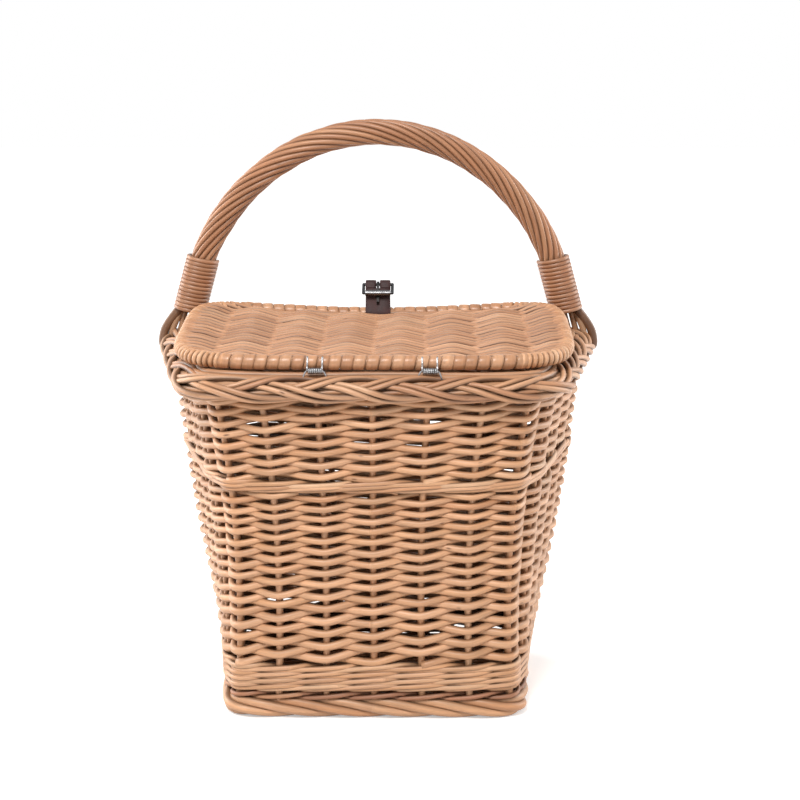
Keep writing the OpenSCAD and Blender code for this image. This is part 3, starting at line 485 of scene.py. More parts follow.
# Bottom
# Rods woven over and under seven sticks, closed by the foot border. It is finished plainly, as it is
# seen only from below or through the open lid.
bottom_z, bottom_inset, bottom_fill_share = 10 * MM, 9.0 * MM, 0.985
bottom_rods, bottom_rod_d, bottom_wave, bottom_points = 29, 5.0 * MM, 2.4 * MM, 97
bottom_sticks, stick_d, stick_points = 7, 6.0 * MM, 24
bottom_w, bottom_d = base_half_w - bottom_inset, base_half_d - bottom_inset
straight_up = np.array([0.0, 0.0, 1.0])
rod_y = bottom_fill_share * bottom_d * np.linspace(-1.0, 1.0, bottom_rods)
half_w = bottom_w * (1.0 - np.abs(rod_y / bottom_d) ** base_power) ** (1.0 / base_power)
half_w = half_w * (1.0 + base_flare * rod_y / bottom_d)
along = np.linspace(-1.0, 1.0, bottom_points)
x = half_w[:, None] * along
wave = bottom_wave * np.cos(np.pi * (0.5 * bottom_sticks * along + np.arange(bottom_rods)[:, None]))
path = np.stack([x, rod_y[:, None] + 0.0 * x, bottom_z + wave], -1)
bottom = swept("bottom_rods", path, straight_up, 0.5 * bottom_rod_d, sides=8)
finish_piece(bottom, "basket", willow_tan, "willow", "base_panel")
stick_no = np.arange(bottom_sticks)[:, None] - 0.5 * (bottom_sticks - 1)
stick_y = np.linspace(-bottom_d, bottom_d, stick_points) + 0.0 * stick_no
stick_x = stick_no * 2.0 * bottom_w / bottom_sticks * (1.0 + base_flare * stick_y / bottom_d)
path = np.stack([stick_x, stick_y, bottom_z + 0.0 * stick_x], -1)
sticks = swept("bottom_sticks", path, straight_up, 0.5 * stick_d, sides=8)
finish_piece(sticks, "basket", willow_tan, "willow")

# Top border
# The bent-over stakes are plaited in five strands of two rods over a bundle of level rods. From the middle
# line the strands slant up to the right over the top, and down to the right over the outside.
border_half_w, border_half_d, border_flare, border_mid_z = 178 * MM, 118.5 * MM, 0.13, 312.8 * MM
plait_rod_d, plait_strands, plait_cycles, plait_fine = 5.2 * MM, 5, 4, 72
plait_out, plait_half_w, plait_half_h, plait_girth = 0.8 * MM, 10.0 * MM, 7.2 * MM, 9.0 * MM
# The strands' angle round the bundle, from level outwards, and how unevenly they lie
lap_mid, lap_swing, lap_wander = math.radians(36.0), math.radians(88.0), 0.05
lap_hold, lap_ease, plait_deep, twin_share, plait_lengths = 8, 11, 2.8 * MM, 0.51, 8
# The level rods of the bundle: place outwards, height, radius, and waves in one round
core_out = np.array([-5.6, -10.8, -10.2, 1.0, -8.0])[:, None] * MM
core_z = np.array([320.8, 323.2, 315.4, 313.5, 307.5])[:, None] * MM
core_r = np.array([3.6, 3.3, 4.2, 6.0, 3.2])[:, None] * MM
core_bobs = np.array([5, 7, 6, 9, 8])[:, None]
bob_up, bob_out, core_lengths = 0.5 * MM, 0.6 * MM, 5
border_shades = [(0.44, 0.208, 0.105), (0.51, 0.262, 0.136), (0.57, 0.310, 0.174), (0.63, 0.365, 0.212)]
border_tan = willow("border_tan", border_shades, matt=0.42, knots=0.85, crevice_shade=0.34)
count = plait_fine * plait_cycles
share, plan, step, normal = hoop_line(border_half_w, border_half_d, top_power, border_flare, count)
onward = np.stack([-normal[:, 1], normal[:, 0], np.zeros(count)], -1)
strand = np.repeat(np.arange(plait_strands), 2)[:, None]
twin = np.tile([-twin_share, twin_share], plait_strands)[:, None] * plait_rod_d
turn = 2.0 * np.pi * (plait_cycles * share + strand / plait_strands)
uneven = chance.normal(0.0, lap_wander, (len(strand), count // lap_hold))[:, np.arange(count) // lap_hold]
uneven = sum(np.roll(uneven, k - lap_ease // 2, 1) for k in range(lap_ease)) / lap_ease
lap = lap_mid + lap_swing * np.sin(turn) + uneven
deep = plait_deep * np.sin(2.0 * turn)
lean = np.arctan(np.gradient(plait_girth * lap, axis=1) / (0.5 * np.linalg.norm(step, axis=1)))
lap = lap + twin * np.cos(lean) / plait_girth
facing = flat(normal) * np.cos(lap)[..., None] + straight_up * np.sin(lap)[..., None]
path = raised(plan, normal, border_mid_z + (plait_half_h + deep) * np.sin(lap),
              plait_out + (plait_half_w + deep) * np.cos(lap)) - onward * (twin * np.sin(lean))[..., None]
tone = chance.random((len(strand), plait_lengths))[:, np.arange(count) * plait_lengths // count]
plait = swept("plaited_border", path, facing, 0.5 * plait_rod_d, sides=10, closed=True, tone=tone)
finish_piece(plait, "basket", border_tan, "willow", "top_border")
bob = 2.0 * np.pi * share * core_bobs + np.arange(len(core_bobs))[:, None]
path = raised(plan, normal, core_z + bob_up * np.sin(bob), core_out + bob_out * np.cos(bob))
tone = chance.random((len(core_bobs), core_lengths))[:, np.arange(count) * core_lengths // count]
core = swept("border_core", path, straight_up, core_r, sides=10, closed=True, tone=tone)
finish_piece(core, "basket", border_tan, "willow")

# Handle
# A bow of twelve willow rods laid round a thick core in two and a half turns, standing by the front
# corners. Its straight feet go down inside the bindings.
handle_y, half_span, bow_rise, bow_z = 102 * MM, 185 * MM, 206 * MM, 308.5 * MM
bow_foot_z, tie_z, splay = 342 * MM, 396 * MM, 15 * MM
handle_d, strand_d, bow_rods, handle_turns = 24.5 * MM, 5.3 * MM, 12, 2.5
bow_points, bow_foot_points, ease_points = 150, 13, 9
sway_pitch, sway_size, heart_gap = 40 * MM, 0.2 * MM, 0.3 * MM
bow_shades = [(0.37, 0.162, 0.078), (0.43, 0.200, 0.100), (0.39, 0.175, 0.085), (0.48, 0.240, 0.125)]
bow_tan = willow("bow_tan", bow_shades, matt=0.38, knots=0.7, crevice_shade=0.38)
bow_start = math.asin((tie_z - bow_z) / bow_rise)
tie_x = half_span * math.cos(bow_start)
arc = np.linspace(np.pi - bow_start, bow_start, bow_points)
up_foot = np.linspace(0.0, 1.0, bow_foot_points, endpoint=False)
left_foot = np.stack([-tie_x - splay * (1.0 - up_foot), bow_foot_z + (tie_z - bow_foot_z) * up_foot], -1)
bow = np.stack([half_span * np.cos(arc), bow_z + bow_rise * np.sin(arc)], -1)
line = np.concatenate([left_foot, bow, (left_foot * [-1.0, 1.0])[::-1]])
line = np.pad(line, ((ease_points // 2, ease_points // 2), (0, 0)), "edge")
line = np.stack([np.convolve(line[:, k], np.ones(ease_points) / ease_points, "valid") for k in (0, 1)], -1)
run = np.gradient(line, axis=0)
run = run / np.linalg.norm(run, axis=1, keepdims=True)
outward = np.stack([-run[:, 1], 0.0 * run[:, 0], run[:, 0]], -1)
toward = np.array([0.0, -1.0, 0.0])
length = np.concatenate([[0.0], np.cumsum(np.linalg.norm(np.diff(line, axis=0), axis=1))])
spin = 2.0 * np.pi * (np.arange(bow_rods)[:, None] / bow_rods + handle_turns * length / length[-1])
lay = 0.5 * (handle_d - strand_d)
bow_line = np.stack([line[:, 0], np.full(len(line), handle_y), line[:, 1]], -1)
round_out = outward * np.cos(spin)[..., None] + toward * np.sin(spin)[..., None]
sway = wander(length / sway_pitch + np.zeros((bow_rods, 1)), sway_size)
rope = swept("handle_strands", bow_line + round_out * (lay + sway)[..., None], round_out, 0.5 * strand_d,
             sides=10)
finish_piece(rope, "basket", bow_tan, "willow", "handle_rope")
heart = swept("handle_heart", bow_line[None], outward[None], lay - heart_gap, sides=16)
finish_piece(heart, "basket", bow_tan, "willow")

# Handle bindings and legs
# Split willow wound tightly round the bow's feet. Below it three rods go down into the border and two pass
# outside it and under, to hold the bow to the rim.
wraps, wrap_points, wrap_tones = 13.5, 28, 16
band_t, band_w, binding_r = 1.8 * MM, 2.1 * MM, 14.2 * MM
ridge_up, ridge_turn, ridge_spread = 1.4 * MM, 0.9, 0.5
leg_d, outer_leg_wide, leg_points, leg_reach = 6.0 * MM, 1.4, 12, 208.5 * MM
inner_leg_outs, inner_leg_drops = (-2.6 * MM, 4.2 * MM), np.array([[1.0], [14.0], [34.0]]) * MM
# The third inner rod and the outer pair: places in from their reach, towards the hinge side, and heights
third_leg_out, third_leg_in = 2.8 * MM, np.array([9.0, 7.0]) * MM
third_leg_toward, third_leg_z = np.array([4.0, 5.0]) * MM, np.array([329.0, 312.0]) * MM
outer_leg_out, outer_leg_up, outer_leg_shifts = 9.6 * MM, 1.5 * MM, (-3.3 * MM, 3.3 * MM)
outer_leg_in, outer_leg_z = np.array([3.5, -0.5, 0.0, 13.5]) * MM, np.array([330.0, 317.0, 306.0, 309.0]) * MM
skein_shades = [(0.31, 0.132, 0.064), (0.36, 0.164, 0.082), (0.42, 0.205, 0.110)]
skein = willow("split_willow", skein_shades, matt=0.36, knots=0.4, crevice_shade=0.5)


def bend(points, steps):
    """A smooth open run by given points: quadratic arcs between the midpoints of its inner stretches."""
    p = np.asarray(points, float)
    mids = np.concatenate([p[:1], 0.5 * (p[1:-2] + p[2:-1]), p[-1:]])
    t = np.linspace(0.0, 1.0, steps)[:, None]
    parts = [(1 - t) ** 2 * a + 2 * t * (1 - t) * b + t ** 2 * c for a, b, c in zip(mids, p[1:-1], mids[1:])]
    return np.concatenate([parts[0]] + [part[1:] for part in parts[1:]])


lean_out, tie_length = math.atan2(splay, tie_z - bow_foot_z), math.hypot(splay, tie_z - bow_foot_z)
backward = np.array([0.0, 1.0, 0.0])
for side, name in ((-1.0, "left"), (1.0, "right")):
    axis = np.array([-side * math.sin(lean_out), 0.0, math.cos(lean_out)])
    away = np.array([side * math.cos(lean_out), 0.0, math.sin(lean_out)])
    start = np.array([side * (tie_x + splay), handle_y, bow_foot_z])
    turn = np.linspace(0.0, 2.0 * np.pi * wraps, int(wraps * wrap_points))
    rim_out = away * np.cos(turn)[:, None] + toward * np.sin(turn)[:, None]
    off_ridge = np.mod(turn - ridge_turn + np.pi, 2.0 * np.pi) - np.pi
    radius = binding_r + ridge_up * np.exp(-(off_ridge / ridge_spread) ** 2)
    up_tie = turn / turn[-1] * (tie_length - 2 * band_w) + band_w
    path = start + axis * up_tie[:, None] + rim_out * radius[:, None]
    tone = chance.random(wrap_tones)[(turn / (2.0 * np.pi)).astype(int)]
    wound = swept("binding_" + name, path[None], rim_out[None], band_t, sides=10, wide=band_w / band_t,
                  tone=tone[None], power=2.3)
    finish_piece(wound, "basket", skein, "pale_willow", "handle_binding_" + name)
    inner = [start + away * out - axis * inner_leg_drops for out in inner_leg_outs]
    third_ends = np.stack([side * (leg_reach - third_leg_in), handle_y - third_leg_toward, third_leg_z], -1)
    inner.append(np.concatenate([inner[1][:1] + away * third_leg_out, third_ends]))
    path = np.stack([bend(leg, leg_points) for leg in inner])
    legs = swept("legs_in_" + name, path, backward, 0.5 * leg_d, sides=10)
    finish_piece(legs, "basket", willow_tan, "pale_willow", "handle_legs_" + name)
    outer_top = start + away * outer_leg_out + axis * outer_leg_up
    outer_x = side * (leg_reach - outer_leg_in)
    outer_ends = np.stack([outer_x, np.full(len(outer_x), handle_y), outer_leg_z], -1)
    outer = bend(np.concatenate([outer_top[None], outer_ends]), leg_points)
    path = np.stack([outer + backward * shift for shift in outer_leg_shifts])
    legs = swept("legs_out_" + name, path, backward, 0.5 * leg_d, sides=10, wide=outer_leg_wide)
    finish_piece(legs, "basket", bow_tan, "pale_willow")

# Lid mat
# Fine willow rods across the lid, packed tight, over and under eight liners that run front to back. The
# front edge sags in the middle and rests a little above the border.
hinge_y, hinge_z, lid_tilt = -117.75 * MM, 328.9 * MM, math.radians(4.1)
lid_half_w, lid_half_d, lid_power = 171.5 * MM, 107.5 * MM, 5.0
lid_mid, lid_sag = np.array([0.0, 117.9, 4.8]) * MM, 11.0 * MM
lid_rows, lid_rod_d, lid_points, mat_inset, mat_lap = 41, 5.2 * MM, 141, 5.0 * MM, 1.0 * MM
mat_wave, mat_kink, edge_way, edge_up = 3.7 * MM, 0.04, 26 * MM, 4.2 * MM
calm_rows, calm_share = 3, 0.3
mat_wander, mat_wander_up = 0.5 * MM, 0.25 * MM
liner_count, liner_gap, liner_d, liner_points, liner_share = 8, 46 * MM, 4.8 * MM, 40, 0.97
lid_shades = [(0.48, 0.232, 0.120), (0.55, 0.288, 0.158), (0.52, 0.255, 0.132), (0.64, 0.358, 0.206)]
lid_tan = willow("lid_tan", lid_shades, matt=0.44, knots=0.7, crevice_shade=0.36)


def turned(vectors):
    """Directions in the lid's frame turned by its rest angle."""
    c, s = math.cos(lid_tilt), math.sin(lid_tilt)
    y, z = vectors[..., 1], vectors[..., 2]
    return np.stack([vectors[..., 0], y * c - z * s, y * s + z * c], -1)


def on_lid(points):
    """Lid points, hinge axis at the origin and front to +Y, turned by the rest angle and put in place."""
    return turned(points) + np.array([0.0, hinge_y, hinge_z])


def sag_at(x, y):
    """How far the lid hangs at a place: most at the middle of the front edge."""
    return lid_sag * (y + lid_half_d) / (2.0 * lid_half_d) * (1.0 - (x / lid_half_w) ** 2)


def across_lid(half_a, half_b, b):
    """Half the lid's reach one way at places b the other way, on its squared oval."""
    return half_a * (1.0 - np.abs(b / half_b) ** lid_power) ** (1.0 / lid_power)


row_no = np.arange(lid_rows)[:, None]
row_y = np.linspace(mat_inset - lid_half_d, lid_half_d - mat_inset, lid_rows)[:, None]
half_w = across_lid(lid_half_w, lid_half_d, row_y)
x = (half_w + mat_lap) * np.linspace(-1.0, 1.0, lid_points)
y = row_y + wander(x / liner_gap, mat_wander)
edge = np.clip((half_w - np.abs(x)) / edge_way, 0.0, 1.0)
edge = edge * edge * (3.0 - 2.0 * edge)
phase = np.pi * (x / liner_gap - 0.5 + row_no)
calm = np.where(row_no >= lid_rows - calm_rows, calm_share, 1.0)
wave = mat_wave * (1.0 - 2.0 * climb(phase, mat_kink)) * calm
z = wave * edge + edge_up * (1.0 - edge) - sag_at(x, y) + wander(x / liner_gap, mat_wander_up)
above = turned(straight_up)
lid_mat = swept("lid_rods", on_lid(np.stack([x, y, z], -1) + lid_mid), above, 0.5 * lid_rod_d, sides=8)
finish_piece(lid_mat, "lid", lid_tan, "willow", "lid_weave")
liner_x = (np.arange(liner_count)[:, None] - 0.5 * (liner_count - 1)) * liner_gap + np.zeros(liner_points)
liner_y = across_lid(lid_half_d, lid_half_w, liner_x) * np.linspace(-liner_share, liner_share, liner_points)
path = on_lid(np.stack([liner_x, liner_y, -sag_at(liner_x, liner_y)], -1) + lid_mid)
liners = swept("lid_liners", path, above, 0.5 * liner_d, sides=8)
finish_piece(liners, "lid", willow_tan, "willow")

# Lid rim
# A hoop of rods. Split willow in wide turns binds the straight back and front edges; at the sides and
# corners the mat's own rods are turned round the hoop, so fine ridges show there.
rim_r, rim_points, hoop_every, hoop_r, loop_points = 6.5 * MM, 4000, 16, 5.0 * MM, 26
straight_half, rim_wander = 128 * MM, 0.12 * MM
wide_gap, wide_half, wide_t, wide_slant, wide_wander = 10.6 * MM, 5.15 * MM, 0.9 * MM, 1.2 * MM, 0.4 * MM
ridge_gap, ridge_half, ridge_r = 5.0 * MM, 2.45 * MM, 2.2 * MM
ridge_slant, ridge_proud = 0.8 * MM, 0.3 * MM
rim_shades = [(0.44, 0.210, 0.105), (0.52, 0.265, 0.140), (0.60, 0.330, 0.185)]
rim_skein = willow("rim_skein", rim_shades, matt=0.34, knots=0.4, crevice_shade=0.6)
share, rim_line, step, rim_normal = hoop_line(lid_half_w, lid_half_d, lid_power, 0.0, rim_points)
rim_run = np.concatenate([[0.0], np.cumsum(0.5 * np.linalg.norm(step, axis=1))])[:-1]
rim_length = rim_run[-1]
straight = np.abs(rim_line[:, 0]) < straight_half
right_from, right_to = rim_run[np.argmax(~straight)], rim_run[np.argmax(straight & (share > 0.25))]


def rim_loops(name, places, half, thick, radius, slant, sides, power):
    """Closed turns round the hoop: circles in the plane of its normal, sheared along it by the slant."""
    turn = 2.0 * np.pi * np.arange(loop_points) / loop_points
    at = np.searchsorted(rim_run, np.mod(places, rim_length))
    p, n = rim_line[at], flat(rim_normal[at])[:, None]
    onward = np.stack([-n[..., 1], n[..., 0], n[..., 2]], -1)
    r = (radius + chance.normal(0.0, rim_wander, (len(at), 1)))[..., None]
    facing = n * np.cos(turn)[:, None] + straight_up * np.sin(turn)[:, None]
    centre = np.stack([p[:, 0], p[:, 1], -sag_at(p[:, 0], p[:, 1])], -1) + lid_mid
    path = centre[:, None] + facing * r + onward * (slant * np.sin(turn))[:, None]
    return swept(name, on_lid(path), turned(facing), thick, sides, wide=half / thick, closed=True,
                 power=power)


def both_ways(reach):
    """Places of the wide turns from the middle of an edge to its reach, first one way and then the other."""
    return np.concatenate([np.arange(0.0, reach, wide_gap), -np.arange(wide_gap, reach, wide_gap)])


front_mid = rim_run[rim_points // 2]
places = np.concatenate([both_ways(right_from), front_mid + both_ways(front_mid - right_to)])
places = places + chance.normal(0.0, wide_wander, len(places))
bands = rim_loops("rim_bands", places, wide_half, wide_t, rim_r - wide_t, wide_slant, sides=12, power=3.0)
finish_piece(bands, "lid", rim_skein, "pale_willow", "lid_rim")
right_places = np.arange(right_from, right_to, ridge_gap)
places = np.concatenate([right_places, rim_length - right_places])
ridges = rim_loops("rim_ridges", places, ridge_half, ridge_r, rim_r - ridge_r + ridge_proud, ridge_slant,
                   sides=8, power=2.0)
finish_piece(ridges, "lid", packed_tan, "willow")
hoop_x, hoop_y = rim_line[::hoop_every].T
path = on_lid(np.stack([hoop_x, hoop_y, -sag_at(hoop_x, hoop_y)], -1) + lid_mid)
hoop = swept("rim_hoop", path[None], above, hoop_r, sides=12, closed=True)
finish_piece(hoop, "lid", willow_tan, "willow")

# Hinges
# Bright wire: a close coil of eight turns whose ends go up over the lid's rim, and a pin through it whose
# ends are turned down and out into the border.
wire_r, coil_r, hinge_x, coil_turns, coil_points = 0.8 * MM, 2.15 * MM, 49 * MM, 8, 22
# The wire's end, from the coil up the lid's rim and over it: places to the front and up
wire_end_yz = np.array([[-2.15, 0.4], [-2.15, 2.2], [-0.9, 4.0], [2.2, 5.6], [3.6, 7.4], [4.6, 9.0],
                        [6.6, 10.8]]) * MM
pin_out, pin_down = np.array([0.6, 2.0, 3.2, 3.8]) * MM, np.array([0.0, 2.4, 5.6, 9.0]) * MM
pin_past, pin_straight_share, end_points, pin_points = 0.4 * MM, 0.6, 5, 7
coil_facing = np.array([0.0, -0.6, 0.8])


def metal(name, tint, matt, wear):
    """Plated metal: fine scratches vary its roughness round the matt value and dent it, and it is duller in
    patches, down to the wear share."""
    made, t = blank_material(name)
    place = add_node(t, "ShaderNodeTexCoord")
    scratch = add_node(t, "ShaderNodeTexNoise", Vector=place.outputs["Object"], Scale=900.0, Detail=4.0)
    patch = add_node(t, "ShaderNodeTexNoise", Vector=place.outputs["Object"], Scale=260.0, Detail=2.0)
    rough = add_node(t, "ShaderNodeMapRange", Value=scratch.outputs["Fac"], From_Min=0.3, From_Max=0.7,
                     To_Min=matt - 0.05, To_Max=matt + 0.12)
    dull = add_node(t, "ShaderNodeMapRange", Value=patch.outputs["Fac"], From_Min=0.35, From_Max=0.75,
                    To_Min=1.0, To_Max=wear)
    shade = add_node(t, "ShaderNodeVectorMath", operation="SCALE", i0=tint, Scale=dull.outputs[0])
    dent = add_node(t, "ShaderNodeBump", Height=scratch.outputs["Fac"], Strength=0.02, Distance=0.0002)
    skin = add_node(t, "ShaderNodeBsdfPrincipled", Base_Color=shade.outputs[0], Roughness=rough.outputs[0],
                    Normal=dent.outputs[0], Metallic=1.0)
    add_node(t, "ShaderNodeOutputMaterial", Surface=skin.outputs[0])
    return made


nickel = metal("bright_nickel", (0.36, 0.36, 0.37), matt=0.27, wear=0.66)
coil_length = coil_turns * 2.0 * wire_r
turn = np.linspace(0.0, 2.0 * np.pi * coil_turns, coil_turns * coil_points)
coil_x = coil_length * (turn / turn[-1] - 0.5)
coil = np.stack([coil_x, -coil_r * np.cos(turn), coil_r * np.sin(turn)], -1)
wire_end = bend(np.concatenate([np.zeros((len(wire_end_yz), 1)), wire_end_yz], 1), end_points)
to_end = np.array([0.5 * coil_length, 0.0, 0.0])
wire = np.concatenate([wire_end[::-1] - to_end, coil, wire_end + to_end])
pin_reach = 0.5 * coil_length + pin_past
pin_x = np.concatenate([[0.0, pin_straight_share * pin_reach], pin_reach + pin_out])
pin_z = np.concatenate([[0.0, 0.0], -pin_down])
half_pin = bend(np.stack([pin_x, 0.0 * pin_x, pin_z], -1), pin_points)
pin = np.concatenate([half_pin[::-1] * [-1.0, 1.0, 1.0], half_pin[1:]])
for side, name in ((-1.0, "left"), (1.0, "right")):
    across = np.array([side * hinge_x, 0.0, 0.0])
    spring = swept("hinge_coil_wire_" + name, on_lid(wire + across)[None], coil_facing, wire_r, sides=8)
    finish_piece(spring, "lid", nickel, "nickel", "hinge_coil_" + name)
    axle = swept("hinge_pin_wire_" + name, (pin + across + np.array([0.0, hinge_y, hinge_z]))[None], backward,
                 wire_r, sides=8)
    finish_piece(axle, "basket", nickel, "nickel", "hinge_pin_" + name)

# Buckle
# A plated roller buckle, fallen back against its strap: a wire frame, a tube that turns on its lower bar
# and a prong round its heel bar. These are the CAD solids with a plated finish.
dull_nickel = metal("dull_nickel", (0.050, 0.050, 0.055), matt=0.34, wear=0.7)
roller_nickel = metal("roller_nickel", (0.22, 0.22, 0.23), matt=0.24, wear=0.6)
prong_steel = metal("prong_steel", (0.028, 0.026, 0.026), matt=0.42, wear=0.6)


def plate(node, plating):
    """Gives a CAD solid its plated finish."""
    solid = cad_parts[node]
    solid.data.materials.clear()
    solid.data.materials.append(plating)


plate("buckle_frame", dull_nickel)
plate("buckle_roller", roller_nickel)
plate("buckle_prong", prong_steel)

# Lid strap
# Dark brown bridle leather, folded round the buckle's heel bar and round the lid's front rim, with a hole
# below the fold drawn as a flat near-black oval of painted shade. A slot at the fold lets the prong through.
strap_w, strap_t, strap_slot, strap_lean = 24 * MM, 3.0 * MM, 3.6 * MM, math.radians(27.249)
rim_at = np.array([225.4, -6.2]) * MM
heel_at = rim_at + np.array([8.0, 27.0]) * MM
loop_r, hug_r = 2.95 * MM, 8.3 * MM
pinch_from, pinch_to, pinch_in = 7.5 * MM, 15.0 * MM, 0.05 * MM
oval_hole_down, oval_hole_half_w, oval_hole_half_h, spot_lift = 13.5 * MM, 2.0 * MM, 1.3 * MM, 0.06 * MM
near_points, far_points, heel_points, rim_loop_points, spot_sides = 30, 8, 24, 40, 24
# The points of the near and far runs where the slot for the prong ends
slot_near, slot_far = 25, 6
down = -np.array([math.sin(strap_lean), math.cos(strap_lean)])
face = np.array([-math.cos(strap_lean), math.sin(strap_lean)])
face_deg = 180.0 - math.degrees(strap_lean)


def leather(name, shade, edge):
    """Bridle leather: a pebbled grain dents it, and its worn places are lighter and duller."""
    made, t = blank_material(name)
    place = add_node(t, "ShaderNodeTexCoord")
    pebble = add_node(t, "ShaderNodeTexVoronoi", Vector=place.outputs["Object"], Scale=1400.0)
    worn = add_node(t, "ShaderNodeTexNoise", Vector=place.outputs["Object"], Scale=130.0, Detail=5.0)
    wear = add_node(t, "ShaderNodeMapRange", Value=worn.outputs["Fac"], From_Min=0.42, From_Max=0.72)
    colour = add_node(t, "ShaderNodeValToRGB", Fac=wear.outputs[0])
    colour.color_ramp.elements[0].color = (*shade, 1.0)
    colour.color_ramp.elements[1].color = (*edge, 1.0)
    rough = add_node(t, "ShaderNodeMapRange", Value=worn.outputs["Fac"], From_Min=0.3, From_Max=0.7,
                     To_Min=0.46, To_Max=0.62)
    dent = add_node(t, "ShaderNodeBump", Height=pebble.outputs["Distance"], Strength=0.35, Distance=0.0003)
    skin = add_node(t, "ShaderNodeBsdfPrincipled", Base_Color=colour.outputs[0], Roughness=rough.outputs[0],
                    Normal=dent.outputs[0], Specular_IOR_Level=0.28)
    add_node(t, "ShaderNodeOutputMaterial", Surface=skin.outputs[0])
    return made


def arc_about(centre, radius, start, stop, steps):
    """Points of an arc in the side plane between two angles in degrees."""
    turn = np.radians(np.linspace(start, stop, steps))
    return centre + radius * np.stack([np.cos(turn), np.sin(turn)], -1)


def line_between(start, stop, steps):
    """Even points of a straight run, its last left out."""
    return start + (stop - start) * np.linspace(0.0, 1.0, steps, endpoint=False)[:, None]


def belt(name, side_path, middle_x, width, on_the_lid):
    """A strap: a squared section swept along a side path (front to back, up) at given places across."""
    y, z = side_path[:, 0], side_path[:, 1]
    run = np.gradient(side_path, axis=0)
    run = run / np.linalg.norm(run, axis=1, keepdims=True)
    facing = np.stack([0.0 * y, -run[:, 1], run[:, 0]], -1)
    path = np.stack([np.stack([x + 0.0 * y, y, z], -1) for x in middle_x])
    if on_the_lid:
        path, facing = on_lid(path), turned(facing)
    return swept(name, path, facing, 0.5 * strap_t, sides=20, wide=np.asarray(width) / strap_t, power=7.0)


def round_spot(name, centre, across, upward, half_w, half_h):
    """A flat oval of many sides in a plane given by two directions."""
    turn = 2.0 * np.pi * np.arange(spot_sides) / spot_sides
    points = centre + np.cos(turn)[:, None] * across * half_w + np.sin(turn)[:, None] * upward * half_h
    return mesh_of(name, points, np.arange(spot_sides), np.array([0]), np.cos(turn), np.sin(turn), 0.0 * turn)


dark_leather = leather("dark_leather", (0.030, 0.010, 0.010), (0.060, 0.025, 0.024))
# Near-black leather for the holes: painted shade for the dark inside of each hole.
painted_hole_shade = leather("painted_hole_shade", (0.006, 0.004, 0.004), (0.012, 0.008, 0.007))
heel_loop = arc_about(heel_at, loop_r, face_deg, face_deg - 180.0, heel_points)
pinch_one = heel_at + down * pinch_from - face * pinch_in
pinch_two = heel_at + down * pinch_to - face * pinch_in
from_rim = pinch_two - rim_at
touch = math.degrees(math.atan2(from_rim[1], from_rim[0]) - math.acos(hug_r / np.linalg.norm(from_rim)))
near_run = line_between(rim_at + face * hug_r, heel_at + face * loop_r, near_points)
far_run = np.concatenate([line_between(heel_loop[-1], pinch_one, far_points),
                          line_between(pinch_one, pinch_two, far_points)])
rim_loop = arc_about(rim_at, hug_r, touch, face_deg - 360.0, rim_loop_points)
body_part = np.concatenate([far_run[slot_far - 1:], rim_loop, near_run[:slot_near + 1]])
fold_part = np.concatenate([near_run[slot_near:], heel_loop[:-1], far_run[:slot_far + 1]])
lid_belt = belt("lid_belt", body_part, [0.0], strap_w, on_the_lid=True)
finish_piece(lid_belt, "lid", dark_leather, "leather", "lid_strap")
tongue_w, tongue_x = 0.5 * (strap_w - strap_slot), 0.25 * (strap_w + strap_slot)
fold = belt("lid_belt_fold", fold_part, [-tongue_x, tongue_x], tongue_w, on_the_lid=True)
finish_piece(fold, "lid", dark_leather, "leather")
# A flat near-black oval on the strap's face: painted shade for a punched hole.
oval_hole_at = heel_at + down * oval_hole_down + face * (loop_r + 0.5 * strap_t + spot_lift)
oval_hole = round_spot("lid_belt_hole", on_lid(np.array([0.0, *oval_hole_at])), np.array([1.0, 0.0, 0.0]),
                    turned(np.array([0.0, *-down])), oval_hole_half_w, oval_hole_half_h)
finish_piece(oval_hole, "lid", painted_hole_shade, "leather")

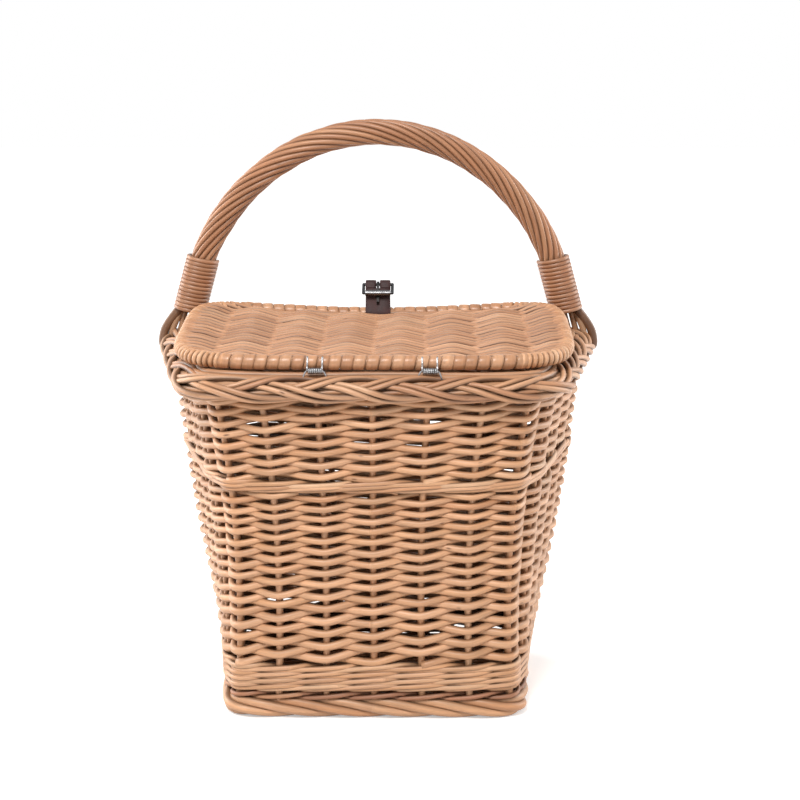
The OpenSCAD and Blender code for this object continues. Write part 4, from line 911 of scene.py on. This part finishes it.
# Front strap
# The other half of the fastening: a strap looped round the top border, riveted to itself and hanging down
# the front, with four punched holes for the prong, drawn as flat near-black discs of painted shade.
tip_z, tip_round, tip_points, tip_start_share, tip_gap = 211 * MM, 12 * MM, 14, 0.02, 0.5 * MM
out_y, in_y, back_y = 133.8 * MM, 103.2 * MM, 130.5 * MM
over_z, pass_z, tail_z, fold_r, fold_points = 326.8 * MM, 300.6 * MM, 280 * MM, 4 * MM, 9
hole_count, hole_low, hole_gap, hole_r = 4, 227.8 * MM, 16 * MM, 2.0 * MM


def rounded(points, radius):
    """A run of straight parts with its corners rounded: each corner is a quadratic arc over the radius."""
    p = np.asarray(points, float)
    t = np.linspace(0.0, 1.0, fold_points)[:, None]
    parts = [p[:1]]
    for before, corner, after in zip(p[:-2], p[1:-1], p[2:]):
        a = corner + (before - corner) / np.linalg.norm(before - corner) * radius
        b = corner + (after - corner) / np.linalg.norm(after - corner) * radius
        parts.append(line_between(parts[-1][-1], a, fold_points)[1:])
        parts.append((1 - t) ** 2 * a + 2 * t * (1 - t) * corner + t ** 2 * b)
    parts.append(line_between(parts[-1][-1], p[-1], fold_points)[1:])
    parts.append(p[-1:])
    return np.concatenate(parts)


tip_turn = np.linspace(tip_start_share, 1.0, tip_points) * np.pi / 2
tip_part = np.stack([np.full(tip_points, out_y), tip_z + tip_round * (1.0 - np.cos(tip_turn))], -1)
rest_part = rounded([[out_y, tip_z + tip_round + tip_gap], [out_y, over_z], [in_y, over_z], [in_y, pass_z],
                     [back_y, pass_z], [back_y, tail_z]], fold_r)
belt_w = np.concatenate([strap_w * np.sin(tip_turn), np.full(len(rest_part), strap_w)])
front_belt = belt("front_belt", np.concatenate([tip_part, rest_part]), [0.0], belt_w[None], on_the_lid=False)
finish_piece(front_belt, "basket", dark_leather, "leather", "front_strap")
# Each hole is a flat near-black disc on the strap's face: painted shade for the opening.
for k in range(hole_count):
    hole_at = np.array([0.0, out_y + 0.5 * strap_t + spot_lift, hole_low + hole_gap * k])
    hole = round_spot("front_hole_%d" % (k + 1), hole_at, np.array([-1.0, 0.0, 0.0]), straight_up,
                      hole_r, hole_r)
    finish_piece(hole, "basket", painted_hole_shade, "leather")
plate("front_rivet", nickel)
